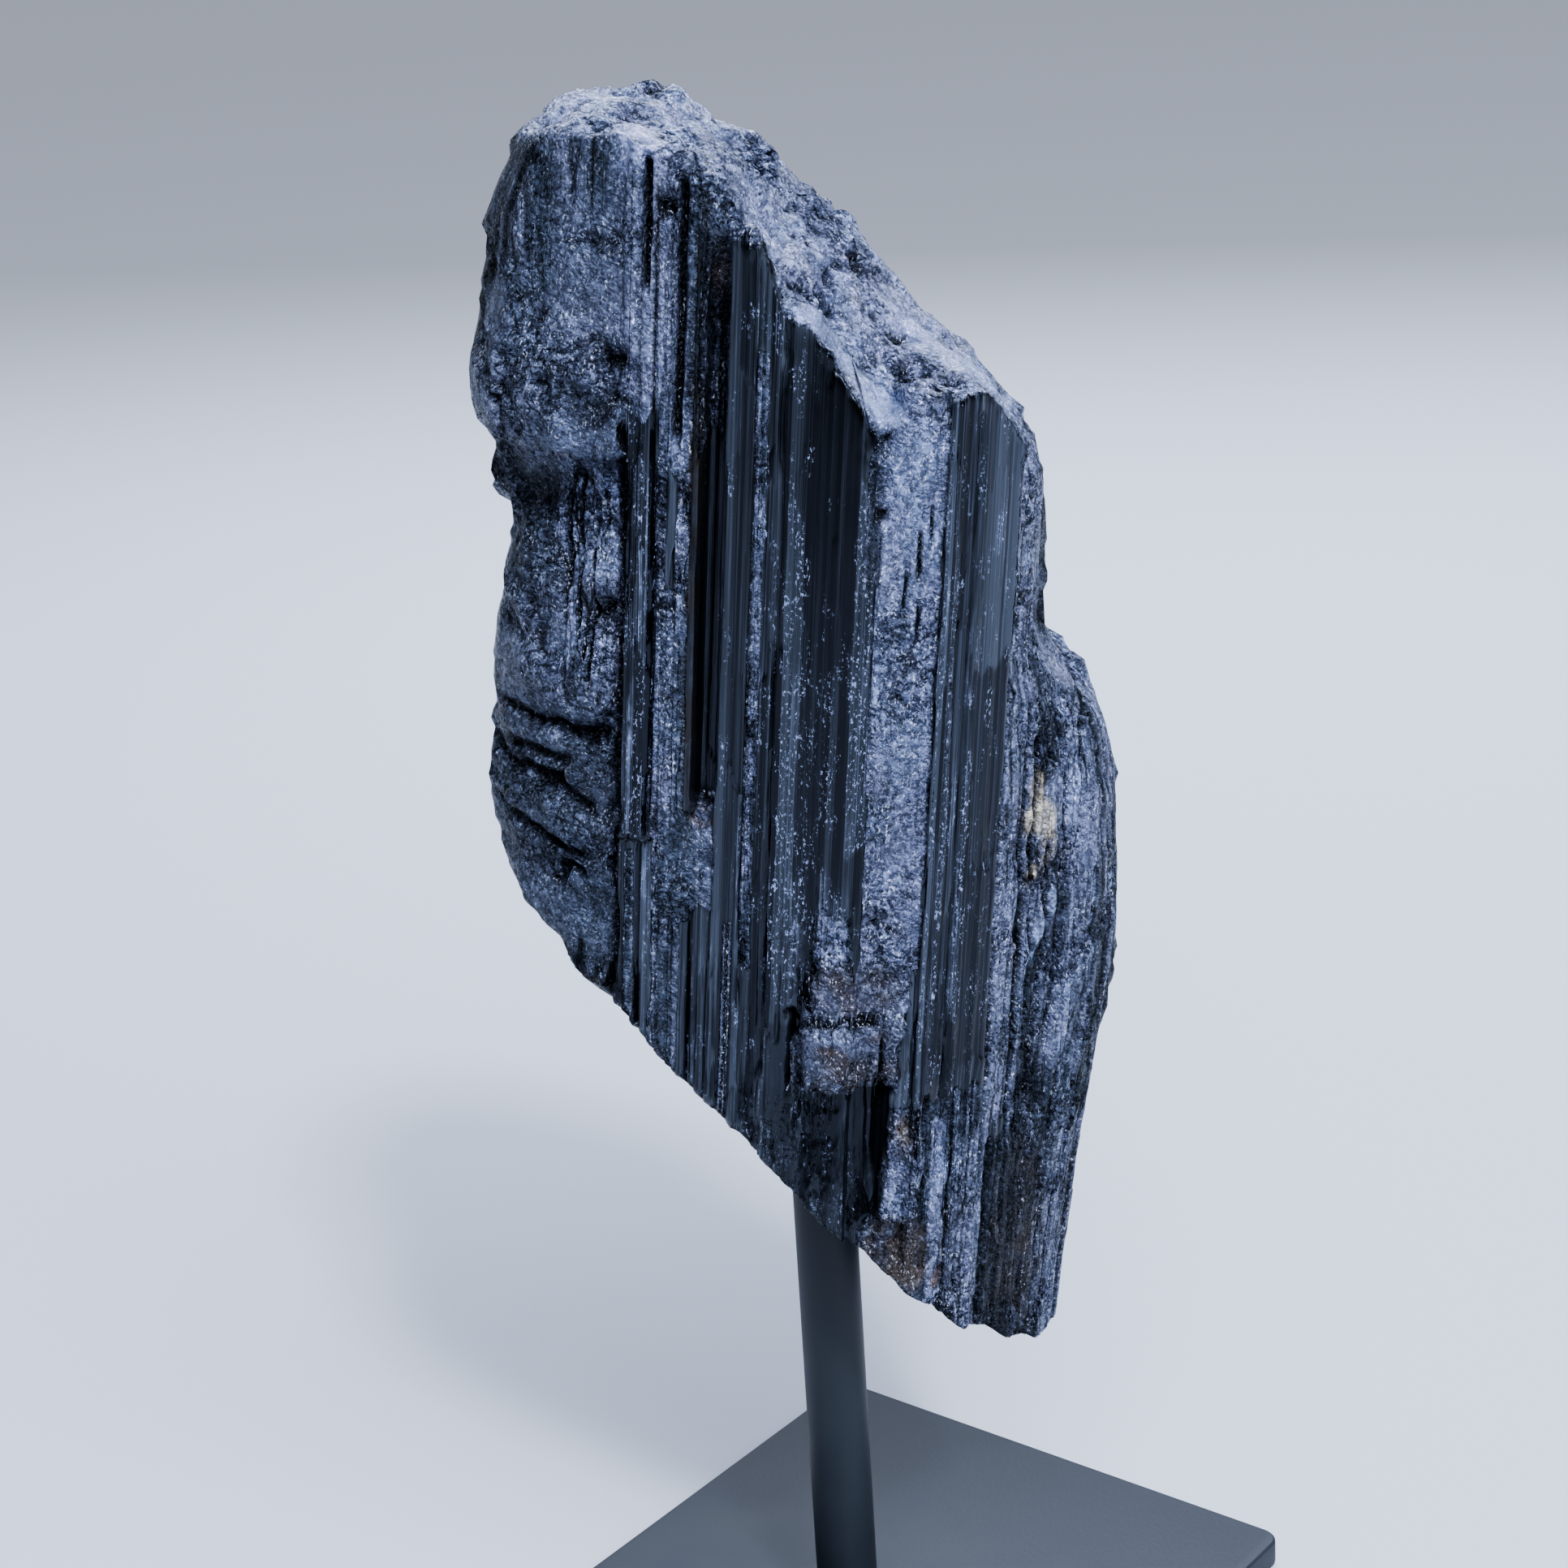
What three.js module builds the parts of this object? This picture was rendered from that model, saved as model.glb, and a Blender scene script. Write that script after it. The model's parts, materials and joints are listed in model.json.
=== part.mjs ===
// A rough black tourmaline crystal on a black steel display stand.
// Millimetres, +Z up. The origin is the middle of the plate's underside, on the rod's axis;
// X and Y run along the plate's sides. The stone has a frame of its own, whose Z is the
// crystal's long axis and whose -Y side is the striated front.
import * as THREE from 'three';

const plate = { width: 100, depth: 130, thickness: 5, cornerRadius: 3.5, bevel: 0.6 };
const rod = { radius: 5.25, sides: 48, insertion: 24 };
const seatGap = 0.3; // clearance wherever two pieces meet
const stone = {
  turn: 39.3, // degrees that the front is turned from the plate's -Y side
  lean: 5.5, // degrees that the long axis leans towards the stone's right
  centreHeight: 165, // the stone frame's origin above the plate's underside
  wallRows: 24,
  topRings: 7,
  bottomRings: 4,
};
const radians = THREE.MathUtils.degToRad;
const lean = { cos: Math.cos(radians(stone.lean)), sin: Math.sin(radians(stone.lean)) };

// Upright faces of the crystal, in order round it: each is a flat face between two edges,
// [x, y] to [x, y], cut into a number of strips. Narrow steps part neighbouring faces.
const faces = [
  // front, from the left edge to the right
  { from: [-48.5, -3], to: [-45, -11.5], strips: 3 },
  { from: [-44.5, -12.3], to: [-37.2, -18.2], strips: 4 },
  { from: [-36.6, -18.9], to: [-28.7, -22.4], strips: 5 },
  { from: [-27.7, -24.6], to: [-22.8, -25.6], strips: 3 },
  { from: [-22.2, -24], to: [-17.3, -24.8], strips: 4 },
  { from: [-16.7, -25], to: [-13.7, -25.2], strips: 3 },
  { from: [-13.1, -25.6], to: [-9, -27], strips: 3 },
  { from: [-8.4, -26.2], to: [-5.8, -27.2], strips: 2 },
  { from: [-5.2, -28], to: [8.5, -32], strips: 8 },
  { from: [9.4, -30.8], to: [18.1, -28.2], strips: 6 },
  { from: [18.7, -29.4], to: [23.1, -27.8], strips: 3 },
  { from: [24.2, -26.4], to: [30, -21.6], strips: 4 },
  { from: [30.7, -19.6], to: [34.2, -15.6], strips: 2 },
  // right shoulder
  { from: [35, -14], to: [41, -9.6], strips: 3 },
  { from: [41.5, -8.6], to: [47.6, -2.4], strips: 4 },
  { from: [48.6, -1.4], to: [52.4, 6.6], strips: 3 },
  { from: [53.2, 7.8], to: [53.6, 16], strips: 3 },
  { from: [52.6, 17.6], to: [48, 24.6], strips: 3 },
  // back, from the right edge to the left
  { from: [46.2, 25.4], to: [38.4, 29.8], strips: 3 },
  { from: [37.4, 28.8], to: [30, 30.6], strips: 3 },
  { from: [29.2, 32], to: [20.4, 33.4], strips: 3 },
  { from: [19.6, 31.6], to: [15.4, 32], strips: 2 },
  { from: [14.4, 33.6], to: [4, 33.8], strips: 4 },
  { from: [3.2, 32], to: [-2.6, 31.6], strips: 2 },
  { from: [-3.6, 33], to: [-13, 31.4], strips: 3 },
  { from: [-13.8, 29.6], to: [-20, 28.6], strips: 2 },
  { from: [-20.8, 30], to: [-30, 26.8], strips: 3 },
  { from: [-30.8, 25], to: [-37.6, 21.6], strips: 3 },
  { from: [-38.4, 22], to: [-44.2, 15], strips: 3 },
  { from: [-44.8, 13.4], to: [-48.4, 3.4], strips: 3 },
];

// Outline seen from the front: [height, x] of the left and right edges.
const leftRoot = -28; // faces left of this line follow the left edge
const leftEdge = [
  [-30, -46.5], [-14, -46.5], [-3, -48.4], [16, -48.2], [31, -46.6], [39, -45.4],
  [46, -46.8], [52, -48], [55, -50.8], [59, -52.2], [67, -51.6], [74, -49.6], [86, -49],
  [94, -46.8], [99, -44.8],
];
const rightRoot = 30; // faces right of this line follow the right edge
const rightEdge = [
  [-100, 48.6], [-78, 49.8], [-59, 51.7], [-34, 54.4], [-20, 53.9], [-3, 52.5], [7, 49.9],
  [14, 45.6], [18, 41], [21, 38], [29, 36.9], [47, 37], [53, 35],
];
const edgeReach = { left: -48.5, right: 53.6 }; // widest x of the faces listed above

// Broken ends, as [x, height] lines: the top falls from its crest to the front and the back,
// and the underside is one long slanting break.
const crest = [
  [-50, 96], [-45, 99], [-39, 102.6], [-33, 104], [-22, 103.8], [-17, 100.2], [-13, 98.6],
  [-9.5, 97.6], [-8, 95], [-4, 92.4], [1, 88.6], [5, 84.8], [9, 80.6], [12.5, 76.6], [16, 73],
  [22, 67.8], [29, 62], [32.5, 57], [35, 52.4], [38, 44],
];
const frontRim = [
  [-50, 94], [-45, 96.5], [-39, 99], [-33, 100], [-26, 99], [-19, 96.4], [-13.6, 93.4],
  [-12.4, 91], [-10, 87], [-7.8, 82], [-6.7, 78], [-4.5, 76.4], [-1.7, 76.2], [0.8, 72.8],
  [3.9, 69.6], [6.1, 66], [8.6, 63.8], [10.4, 63], [14, 65.6], [17.8, 68], [23.8, 67.4],
  [27.2, 64.2], [29.8, 60.4], [32.2, 55.6], [35, 51],
];
const underside = [
  [-50, -6], [-46, -12.5], [-39, -21], [-29, -29.5], [-21, -39], [-9, -50.5], [1, -61],
  [14, -72.4], [25, -82.4], [32, -88.4], [36, -91.8], [44, -98.2], [50, -98.2],
];
const crestY = 6;
const rimY = -28;
const backY = 33;
const backFall = 10; // how far the top falls from its crest to the back
const undersideDip = 0.1; // fall of the underside per millimetre towards the back

// The overhanging lip at the upper left, and the hollow beneath it.
const lip = { right: -28.2, middle: -36, height: 53.2, arch: 0.014 };
// Steps on the faces: over x and from one height to another the face stands out (+) or in
// (-), and fades in over the given heights at its lower and upper end.
const frontSteps = [
  { x: [-17, -13.4], z: [0.4, 88], fade: [0, 12], out: -7 }, // deep groove above a ledge
  { x: [-28, -22.5], z: [-120, -3.7], fade: [0, 0], out: -1.6 },
  { x: [-22.5, -17.1], z: [-120, -6], fade: [0, 6], out: 0.9 },
  { x: [0.2, 8.9], z: [-41.4, -29.6], fade: [0, 0], out: 3.4 }, // protruding block
  { x: [8.9, 16.3], z: [-41.4, -29.6], fade: [0, 0], out: 2.8 },
  { x: [0.2, 8.9], z: [-62, -41.4], fade: [14, 0], out: -2.4 }, // recess below the block
  { x: [8.9, 14.9], z: [-72, -41.4], fade: [18, 0], out: -5.6 },
  { x: [21.4, 24.6], z: [-66, -42], fade: [8, 6], out: -2.6 },
];
const backSteps = [
  { x: [15, 20], z: [-18, 120], fade: [0, 0], out: -3.4 }, // slot broken open at its foot
  { x: [-13.4, -3.2], z: [26, 120], fade: [0, 0], out: -2.6 },
  { x: [-30.4, -20.4], z: [-120, 8], fade: [0, 0], out: -2.8 },
  { x: [20.2, 29.6], z: [-46, 22], fade: [10, 0], out: 2 },
];
// Rows of points are drawn together at these heights, to keep the ledges sharp.
const frontLedges = [
  { x: [-52, -28.2], height: lipHeight },
  { x: [-17, -13.4], height: () => 0.4 },
  { x: [-28, -22.5], height: () => -3.7 },
  { x: [0.2, 16.3], height: () => -29.6 },
  { x: [0.2, 16.3], height: () => -41.4 },
];
const backLedges = [
  { x: [15, 20], height: () => -18 },
  { x: [-13.4, -3.2], height: () => 26 },
  { x: [-30.4, -20.4], height: () => 8 },
  { x: [20.2, 29.6], height: () => 22 },
];
const ledgeHalf = 0.55;
// Pits in the broken top: [x, y, depth, radius].
const pits = [[0.8, -18, 3.8, 3.6], [-9, -12, 2.6, 3.5], [10, -21, 1.8, 4], [-24, -6, 1.6, 5]];
const lumpHeight = { end: 1, rough: 0.62, smooth: 0.07, size: 12 };

function along(knots, value) {
  const last = knots.length - 1;
  if (value <= knots[0][0]) return knots[0][1];
  for (let i = 0; i < last; i += 1) {
    const [start, low] = knots[i];
    const [end, high] = knots[i + 1];
    if (value <= end) return low + ((high - low) * (value - start)) / (end - start);
  }
  return knots[last][1];
}

// 1 between two heights and 0 outside, fading in over the lower and upper fade lengths.
function between(z, [low, high], [lowFade, highFade]) {
  if (z <= low || z >= high) return 0;
  return Math.min(1, (z - low) / Math.max(lowFade, 1e-6), (high - z) / Math.max(highFade, 1e-6));
}

// Rounded hills and hollows about `size` across, between -1 and 1, the same each time.
function lumps(x, y, z, size) {
  const k = (2 * Math.PI) / size;
  const first = Math.sin(k * (0.9 * x + 0.4 * z + 0.3 * y) + 1.3 * Math.sin(k * 0.55 * z));
  const second = Math.sin(k * (0.7 * z - 0.6 * x + 0.5 * y) + 1.1 * Math.sin(k * 0.5 * x));
  const third = Math.sin(k * (0.8 * y + 0.35 * x - 0.3 * z) + 2.1);
  return (first + second + third) / 3;
}

function lipHeight(x) {
  return lip.height + lip.arch * (x - lip.middle) ** 2;
}

// How far the upper left front bulges over its lip and hollows out below it.
function lipRelief(x, z) {
  const above = z - lipHeight(x);
  if (above >= 0) return 3.4 * Math.exp(-(((above - 6) / 11) ** 2));
  const hollow = x < -35 ? 6.5 : 3.6;
  return -hollow * Math.exp(-(((above + 5) / 11) ** 2));
}

// Long shallow ripples of a shell-like break at the lower left.
function rippleRelief(x, z) {
  if (z > 18) return 0;
  return 0.6 * Math.sin(0.42 * z + 0.2 * x + 1.4 * Math.sin(0.16 * x + 0.11 * z));
}

function isRough(x) {
  const strips = [[-60, -28], [-22.5, -17.1], [8.9, 18.4], [30.4, 70]];
  return strips.some(([start, end]) => x > start && x < end);
}

function stepRelief(steps, x, z) {
  const crossed = steps.filter((step) => x > step.x[0] && x < step.x[1]);
  return crossed.reduce((out, step) => out + step.out * between(z, step.z, step.fade), 0);
}

function frontRelief(x, z) {
  const upperLeft = x < lip.right ? lipRelief(x, z) + rippleRelief(x, z) : 0;
  return upperLeft + stepRelief(frontSteps, x, z);
}

// A point of the upright surface, from a point of the faces' plan and a height.
function wallPoint([planX, planY], z) {
  let x = planX;
  if (planX < leftRoot) {
    const share = (planX - leftRoot) / (edgeReach.left - leftRoot);
    x = leftRoot + share * (along(leftEdge, z) - leftRoot);
  } else if (planX > rightRoot) {
    const share = (planX - rightRoot) / (edgeReach.right - rightRoot);
    x = rightRoot + share * (along(rightEdge, z) - rightRoot);
  }
  const facing = THREE.MathUtils.smoothstep(Math.abs(planY), 0, 12);
  const carved = planY < 0 ? frontRelief(planX, z) : stepRelief(backSteps, planX, z);
  const height = isRough(planX) && planY < 20 ? lumpHeight.rough : lumpHeight.smooth;
  const relief = facing * carved + height * lumps(x, planY, z, lumpHeight.size);
  const reach = Math.hypot(planX * 0.6, planY); // the relief leans out a little at the sides
  return [x + (relief * planX * 0.25) / reach, planY + (relief * planY) / reach, z];
}

function topHeight(x, y) {
  const ridge = along(crest, x);
  let height = ridge;
  if (y < crestY) {
    const share = (crestY - y) / (crestY - rimY);
    height += (along(frontRim, x) - ridge) * share ** 1.15;
  } else {
    height -= backFall * ((y - crestY) / (backY - crestY)) ** 1.4;
  }
  for (const [pitX, pitY, depth, radius] of pits) {
    height -= depth * Math.exp(-((x - pitX) ** 2 + (y - pitY) ** 2) / radius ** 2);
  }
  return height + lumpHeight.end * lumps(x, y, 0, lumpHeight.size);
}

function bottomHeight(x, y) {
  const plane = along(underside, x) - undersideDip * (y - rimY);
  return plane + lumpHeight.end * lumps(x, y, 0, lumpHeight.size);
}

// The height at which `gap(height)` turns from negative to positive.
function crossing(gap, low, high) {
  let below = low;
  let above = high;
  for (let i = 0; i < 40; i += 1) {
    const middle = (below + above) / 2;
    if (gap(middle) < 0) below = middle;
    else above = middle;
  }
  return (below + above) / 2;
}

function planRing() {
  return faces.flatMap(({ from, to, strips }) =>
    Array.from({ length: strips + 1 }, (_, i) => [
      from[0] + ((to[0] - from[0]) * i) / strips,
      from[1] + ((to[1] - from[1]) * i) / strips,
    ]));
}

// The row of points nearest to a ledge, the same for every upright line that crosses it.
function ledgeRow({ x, height }, endY) {
  const middle = (x[0] + x[1]) / 2;
  const low = bottomHeight(middle, endY);
  const high = topHeight(middle, endY);
  return Math.round((stone.wallRows * (height(middle) - low)) / (high - low));
}

// Heights of one upright line of points, drawn together at the ledges that it crosses.
function rowHeights(plan) {
  const low = crossing((z) => z - bottomHeight(...wallPoint(plan, z)), -115, 20);
  const high = crossing((z) => z - topHeight(...wallPoint(plan, z)), 20, 115);
  const stations = [[0, low], [stone.wallRows, high]];
  const [ledges, endY] = plan[1] < 0 ? [frontLedges, rimY] : [backLedges, backY];
  for (const ledge of ledges) {
    if (plan[0] > ledge.x[0] && plan[0] < ledge.x[1]) {
      const row = ledgeRow(ledge, endY);
      const level = ledge.height(plan[0]);
      stations.push([row, level - ledgeHalf], [row + 1, level + ledgeHalf]);
    }
  }
  stations.sort((a, b) => a[0] - b[0]);
  return Array.from({ length: stone.wallRows + 1 }, (_, row) => along(stations, row));
}

// The stand's upright line through x and y, at a height, in the stone's leaning frame.
function toStone([x, y, height]) {
  const z = height - stone.centreHeight;
  return [x * lean.cos - z * lean.sin, y, x * lean.sin + z * lean.cos];
}

// The height at which the drilled hole for the rod breaks out of the underside.
function holeMouth(x, y) {
  const gap = (height) => {
    const [sx, sy, sz] = toStone([x, y, height]);
    return sz - bottomHeight(sx, sy);
  };
  return crossing(gap, 40, 150);
}

// The mean of a ring's points within `reach` places of one of them.
function meanAround(ring, index, reach) {
  const sum = [0, 0, 0];
  for (let i = index - reach; i <= index + reach; i += 1) {
    ring.at(i % ring.length).forEach((value, axis) => { sum[axis] += value; });
  }
  return sum.map((value) => value / (2 * reach + 1));
}

function mix(a, b, share) {
  return a.map((value, i) => value + (b[i] - value) * share);
}

const rodTop = holeMouth(0, 0) + rod.insertion;

// Every ring of points of the stone, from the hole's end, out over the underside, up the
// faces and in over the top.
function stoneRings() {
  const plan = planRing();
  const columns = plan.map((point) => rowHeights(point).map((z) => wallPoint(point, z)));
  const lowest = columns.map((column) => column[0]);
  const highest = columns.map((column) => column[stone.wallRows]);

  const holeRadius = rod.radius + seatGap;
  const start = Math.atan2(plan[0][1], plan[0][0]);
  const circle = plan.map((_, i) => {
    const angle = start + (2 * Math.PI * i) / plan.length;
    return [holeRadius * Math.cos(angle), holeRadius * Math.sin(angle)];
  });
  const holeEnd = circle.map(([x, y]) => toStone([x, y, rodTop + seatGap]));
  const mouth = circle.map(([x, y]) => toStone([x, y, holeMouth(x, y)]));

  const rings = [holeEnd, mouth];
  for (let ring = 1; ring < stone.bottomRings; ring += 1) {
    rings.push(mouth.map((point, i) => {
      const edge = meanAround(lowest, i, 2 * (stone.bottomRings - ring));
      const [x, y] = mix(point, edge, ring / stone.bottomRings);
      return [x, y, bottomHeight(x, y)];
    }));
  }
  for (let row = 0; row <= stone.wallRows; row += 1) {
    rings.push(columns.map((column) => column[row]));
  }
  const peak = [-6, 0, topHeight(-6, 0)];
  for (let ring = 1; ring < stone.topRings; ring += 1) {
    rings.push(highest.map((_, i) => {
      const [x, y] = mix(meanAround(highest, i, 2 * ring), peak, ring / stone.topRings);
      return [x, y, topHeight(x, y)];
    }));
  }
  return { rings, holeCentre: toStone([0, 0, rodTop + seatGap]), peak };
}

function stoneGeometry() {
  const { rings, holeCentre, peak } = stoneRings();
  const count = rings[0].length;
  const points = [...rings.flat(), holeCentre, peak];
  const index = [];
  const at = (ring, i) => ring * count + (i % count);
  const holeEnd = count * rings.length;
  const last = rings.length - 1;
  for (let i = 0; i < count; i += 1) {
    index.push(holeEnd, at(0, i + 1), at(0, i));
    for (let ring = 0; ring < last; ring += 1) {
      index.push(at(ring, i), at(ring, i + 1), at(ring + 1, i + 1));
      index.push(at(ring, i), at(ring + 1, i + 1), at(ring + 1, i));
    }
    index.push(holeEnd + 1, at(last, i), at(last, i + 1));
  }
  const geometry = new THREE.BufferGeometry();
  geometry.setAttribute('position', new THREE.Float32BufferAttribute(points.flat(), 3));
  geometry.setIndex(index);
  geometry.computeVertexNormals();
  return geometry;
}

function plateGeometry() {
  const halfWidth = plate.width / 2 - plate.bevel;
  const halfDepth = plate.depth / 2 - plate.bevel;
  const radius = plate.cornerRadius - plate.bevel;
  const outline = new THREE.Shape();
  outline.absarc(halfWidth - radius, halfDepth - radius, radius, 0, Math.PI / 2);
  outline.absarc(radius - halfWidth, halfDepth - radius, radius, Math.PI / 2, Math.PI);
  outline.absarc(radius - halfWidth, radius - halfDepth, radius, Math.PI, 1.5 * Math.PI);
  outline.absarc(halfWidth - radius, radius - halfDepth, radius, 1.5 * Math.PI, 2 * Math.PI);
  const geometry = new THREE.ExtrudeGeometry(outline, {
    depth: plate.thickness - 2 * plate.bevel,
    bevelThickness: plate.bevel,
    bevelSize: plate.bevel,
    bevelSegments: 1,
    curveSegments: 5,
  });
  return geometry.translate(0, 0, plate.bevel);
}

function rodGeometry() {
  const foot = plate.thickness + seatGap;
  const geometry = new THREE.CylinderGeometry(rod.radius, rod.radius, rodTop - foot, rod.sides);
  return geometry.rotateX(Math.PI / 2).translate(0, 0, (rodTop + foot) / 2);
}

function named(name, geometry, finish) {
  const mesh = new THREE.Mesh(geometry, new THREE.MeshStandardMaterial(finish));
  mesh.name = name;
  return mesh;
}

const blackSteel = { color: 0x1b1c1f, roughness: 0.5, metalness: 0.3 };
const schorl = { color: 0x1d2127, roughness: 0.45, metalness: 0 };
const tourmaline = named('tourmaline', stoneGeometry(), schorl);
tourmaline.position.z = stone.centreHeight;
tourmaline.rotation.y = radians(stone.lean);

const turned = new THREE.Group();
turned.rotation.z = radians(stone.turn);
turned.add(tourmaline);

const group = new THREE.Group();
group.add(turned);
group.add(named('rod', rodGeometry(), blackSteel));
group.add(named('base_plate', plateGeometry(), blackSteel));

export default group;
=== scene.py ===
import json
import math
import bmesh
import bpy
import numpy as np
from mathutils import Matrix, Vector, noise

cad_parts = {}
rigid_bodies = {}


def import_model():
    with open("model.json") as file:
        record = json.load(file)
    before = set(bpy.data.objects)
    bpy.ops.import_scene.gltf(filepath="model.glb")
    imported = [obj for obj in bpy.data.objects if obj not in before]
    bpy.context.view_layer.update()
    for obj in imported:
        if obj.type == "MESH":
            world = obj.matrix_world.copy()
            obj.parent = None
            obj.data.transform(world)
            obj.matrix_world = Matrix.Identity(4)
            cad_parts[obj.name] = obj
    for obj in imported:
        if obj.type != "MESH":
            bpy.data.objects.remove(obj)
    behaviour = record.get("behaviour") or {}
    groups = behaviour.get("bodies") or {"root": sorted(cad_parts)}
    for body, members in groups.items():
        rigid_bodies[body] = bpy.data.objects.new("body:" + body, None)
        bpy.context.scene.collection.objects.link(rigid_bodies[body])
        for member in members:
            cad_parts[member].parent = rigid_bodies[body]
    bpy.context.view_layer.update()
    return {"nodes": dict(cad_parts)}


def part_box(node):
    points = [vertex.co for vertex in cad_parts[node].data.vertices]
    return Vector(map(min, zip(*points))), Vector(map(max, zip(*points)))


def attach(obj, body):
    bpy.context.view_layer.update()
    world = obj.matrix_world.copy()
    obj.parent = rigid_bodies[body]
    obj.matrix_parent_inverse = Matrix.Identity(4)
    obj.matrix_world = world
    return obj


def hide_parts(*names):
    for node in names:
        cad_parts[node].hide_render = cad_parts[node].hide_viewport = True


# A rough black tourmaline crystal on a black steel stand. Metres, +Z up; sizes that are
# named in millimetres are multiplied by mm where they are used.
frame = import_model()
mm = 0.001


def deselectAll():
    for item in bpy.context.view_layer.objects:
        item.select_set(False)


def makeActive(item):
    deselectAll()
    item.select_set(True)
    bpy.context.view_layer.objects.active = item


def linear(hexColour):
    # sRGB hex to linear RGBA
    parts = [int(hexColour[i:i + 2], 16) / 255 for i in (0, 2, 4)]
    return [c / 12.92 if c <= 0.04045 else ((c + 0.055) / 1.055) ** 2.4 for c in parts] + [1]


def addNode(tree, kind, settings=None, links=None):
    # one node, its settings, and what its sockets are fed from
    node = tree.nodes.new(kind)
    for name, value in (settings or {}).items():
        if isinstance(name, int) or name in node.inputs.keys():
            node.inputs[name].default_value = value
        else:
            setattr(node, name, value)
    for socket, source in (links or {}).items():
        tree.links.new(source, node.inputs[socket])
    return node


def addObject(name, data):
    item = bpy.data.objects.new(name, data)
    bpy.context.scene.collection.objects.link(item)
    return item


def addMaterial(name):
    # a material with its node tree and its shader
    material = bpy.data.materials.new(name)
    material.use_nodes = True
    tree = material.node_tree
    return material, tree, tree.nodes["Principled BSDF"]


# Camera and studio

camera = {
    "heading": 39.29,  # degrees that the view is turned from +Y towards -X
    "side": -2.45,  # mm to the right of the rod
    "back": 444.8,
    "height": 319,
    "pitch": 19.38,  # degrees that it looks down
    "roll": 3.57,
    "lens": 68.07,
}

studio = {
    "floor": "cfd2d8",
    "world": "c6cddb",
    "worldStrength": 0.3,
    "look": "AgX - High Contrast",
    "sun": {"strength": 1.5, "width": 7, "height": 48, "right": 20, "colour": "f4f6ff"},  # degrees
    "softboxes": [
        # metres to the right, away and up as the camera sees the stand, size, watts, colour
        {"place": (0.25, -0.75, 1.05), "size": (1.1, 0.9), "power": 18, "colour": "e2ebff"},
        {"place": (0.2, 0.95, 0.8), "size": (1.3, 0.5), "power": 11, "colour": "e2ebff"},
    ],
}


def viewMatrix():
    return Matrix.Rotation(math.radians(camera["heading"]), 4, "Z")


def makeCamera():
    data = bpy.data.cameras.new("camera")
    data.lens = camera["lens"]
    data.sensor_width = 36
    data.clip_start = 0.01
    data.clip_end = 50
    item = addObject("camera", data)
    place = Matrix.Translation(Vector((camera["side"], -camera["back"], camera["height"])) * mm)
    tilt = Matrix.Rotation(math.radians(90 - camera["pitch"]), 4, "X")
    roll = Matrix.Rotation(math.radians(-camera["roll"]), 4, "Z")
    item.matrix_world = viewMatrix() @ place @ tilt @ roll
    bpy.context.scene.camera = item


def addLight(name, kind, power, colour, place):
    # shines from place (metres right, away and up, as the camera sees it) to the stone
    data = bpy.data.lights.new(name, kind)
    data.energy = power
    data.color = linear(colour)[:3]
    item = addObject(name, data)
    item.location = viewMatrix() @ Vector(place)
    towards = Vector((0, 0, 0.17)) - item.location
    item.rotation_euler = towards.to_track_quat("-Z", "Y").to_euler()
    return data


def makeStudio():
    deselectAll()
    bpy.ops.mesh.primitive_plane_add(size=30)
    floor = bpy.context.object
    floor.name = "floor"
    material, _, shader = addMaterial("paleFloor")
    shader.inputs["Base Color"].default_value = linear(studio["floor"])
    shader.inputs["Roughness"].default_value = 0.8
    floor.data.materials.append(material)
    sun = studio["sun"]
    height = math.radians(sun["height"])
    right = math.radians(sun["right"])
    flat = 2 * math.cos(height)
    place = (flat * math.sin(right), -flat * math.cos(right), 0.17 + 2 * math.sin(height))
    light = addLight("sun", "SUN", sun["strength"], sun["colour"], place)
    light.angle = math.radians(sun["width"])
    for number, box in enumerate(studio["softboxes"]):
        light = addLight(f"softbox_{number}", "AREA", box["power"], box["colour"], box["place"])
        light.shape = "RECTANGLE"
        light.size, light.size_y = box["size"]
    world = bpy.data.worlds.new("studio")
    world.use_nodes = True
    background = world.node_tree.nodes["Background"]
    background.inputs["Color"].default_value = linear(studio["world"])
    background.inputs["Strength"].default_value = studio["worldStrength"]
    bpy.context.scene.world = world
    bpy.context.scene.view_settings.look = studio["look"]


makeCamera()
makeStudio()
print("camera and studio ready")

# The stone. Its own frame has x to its right, -y its striated front and z its long axis,
# in mm; every place on it is given in that frame.

stone = {
    "turn": 39.3,  # degrees about the upright
    "lean": 5.5,  # degrees that the long axis leans
    "centreHeight": 165,
    "frontCuts": 5,
    "topCuts": 3,
    "backCuts": 2,
    "smoothAngle": 30,
    "topNormal": 0.5,  # faces that point up more than this are the top
    "uprightNormal": 0.62,  # and those that point up or down less than this are upright
    "frontY": -4,  # mm, upright faces before this are the front
    "shoulder": (40, 10),  # mm, and so are those right of this x and before this y
}


def namedRows(names, rows):
    # a dictionary for each row of a table
    return [dict(zip(names.split(), row)) for row in rows]


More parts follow.
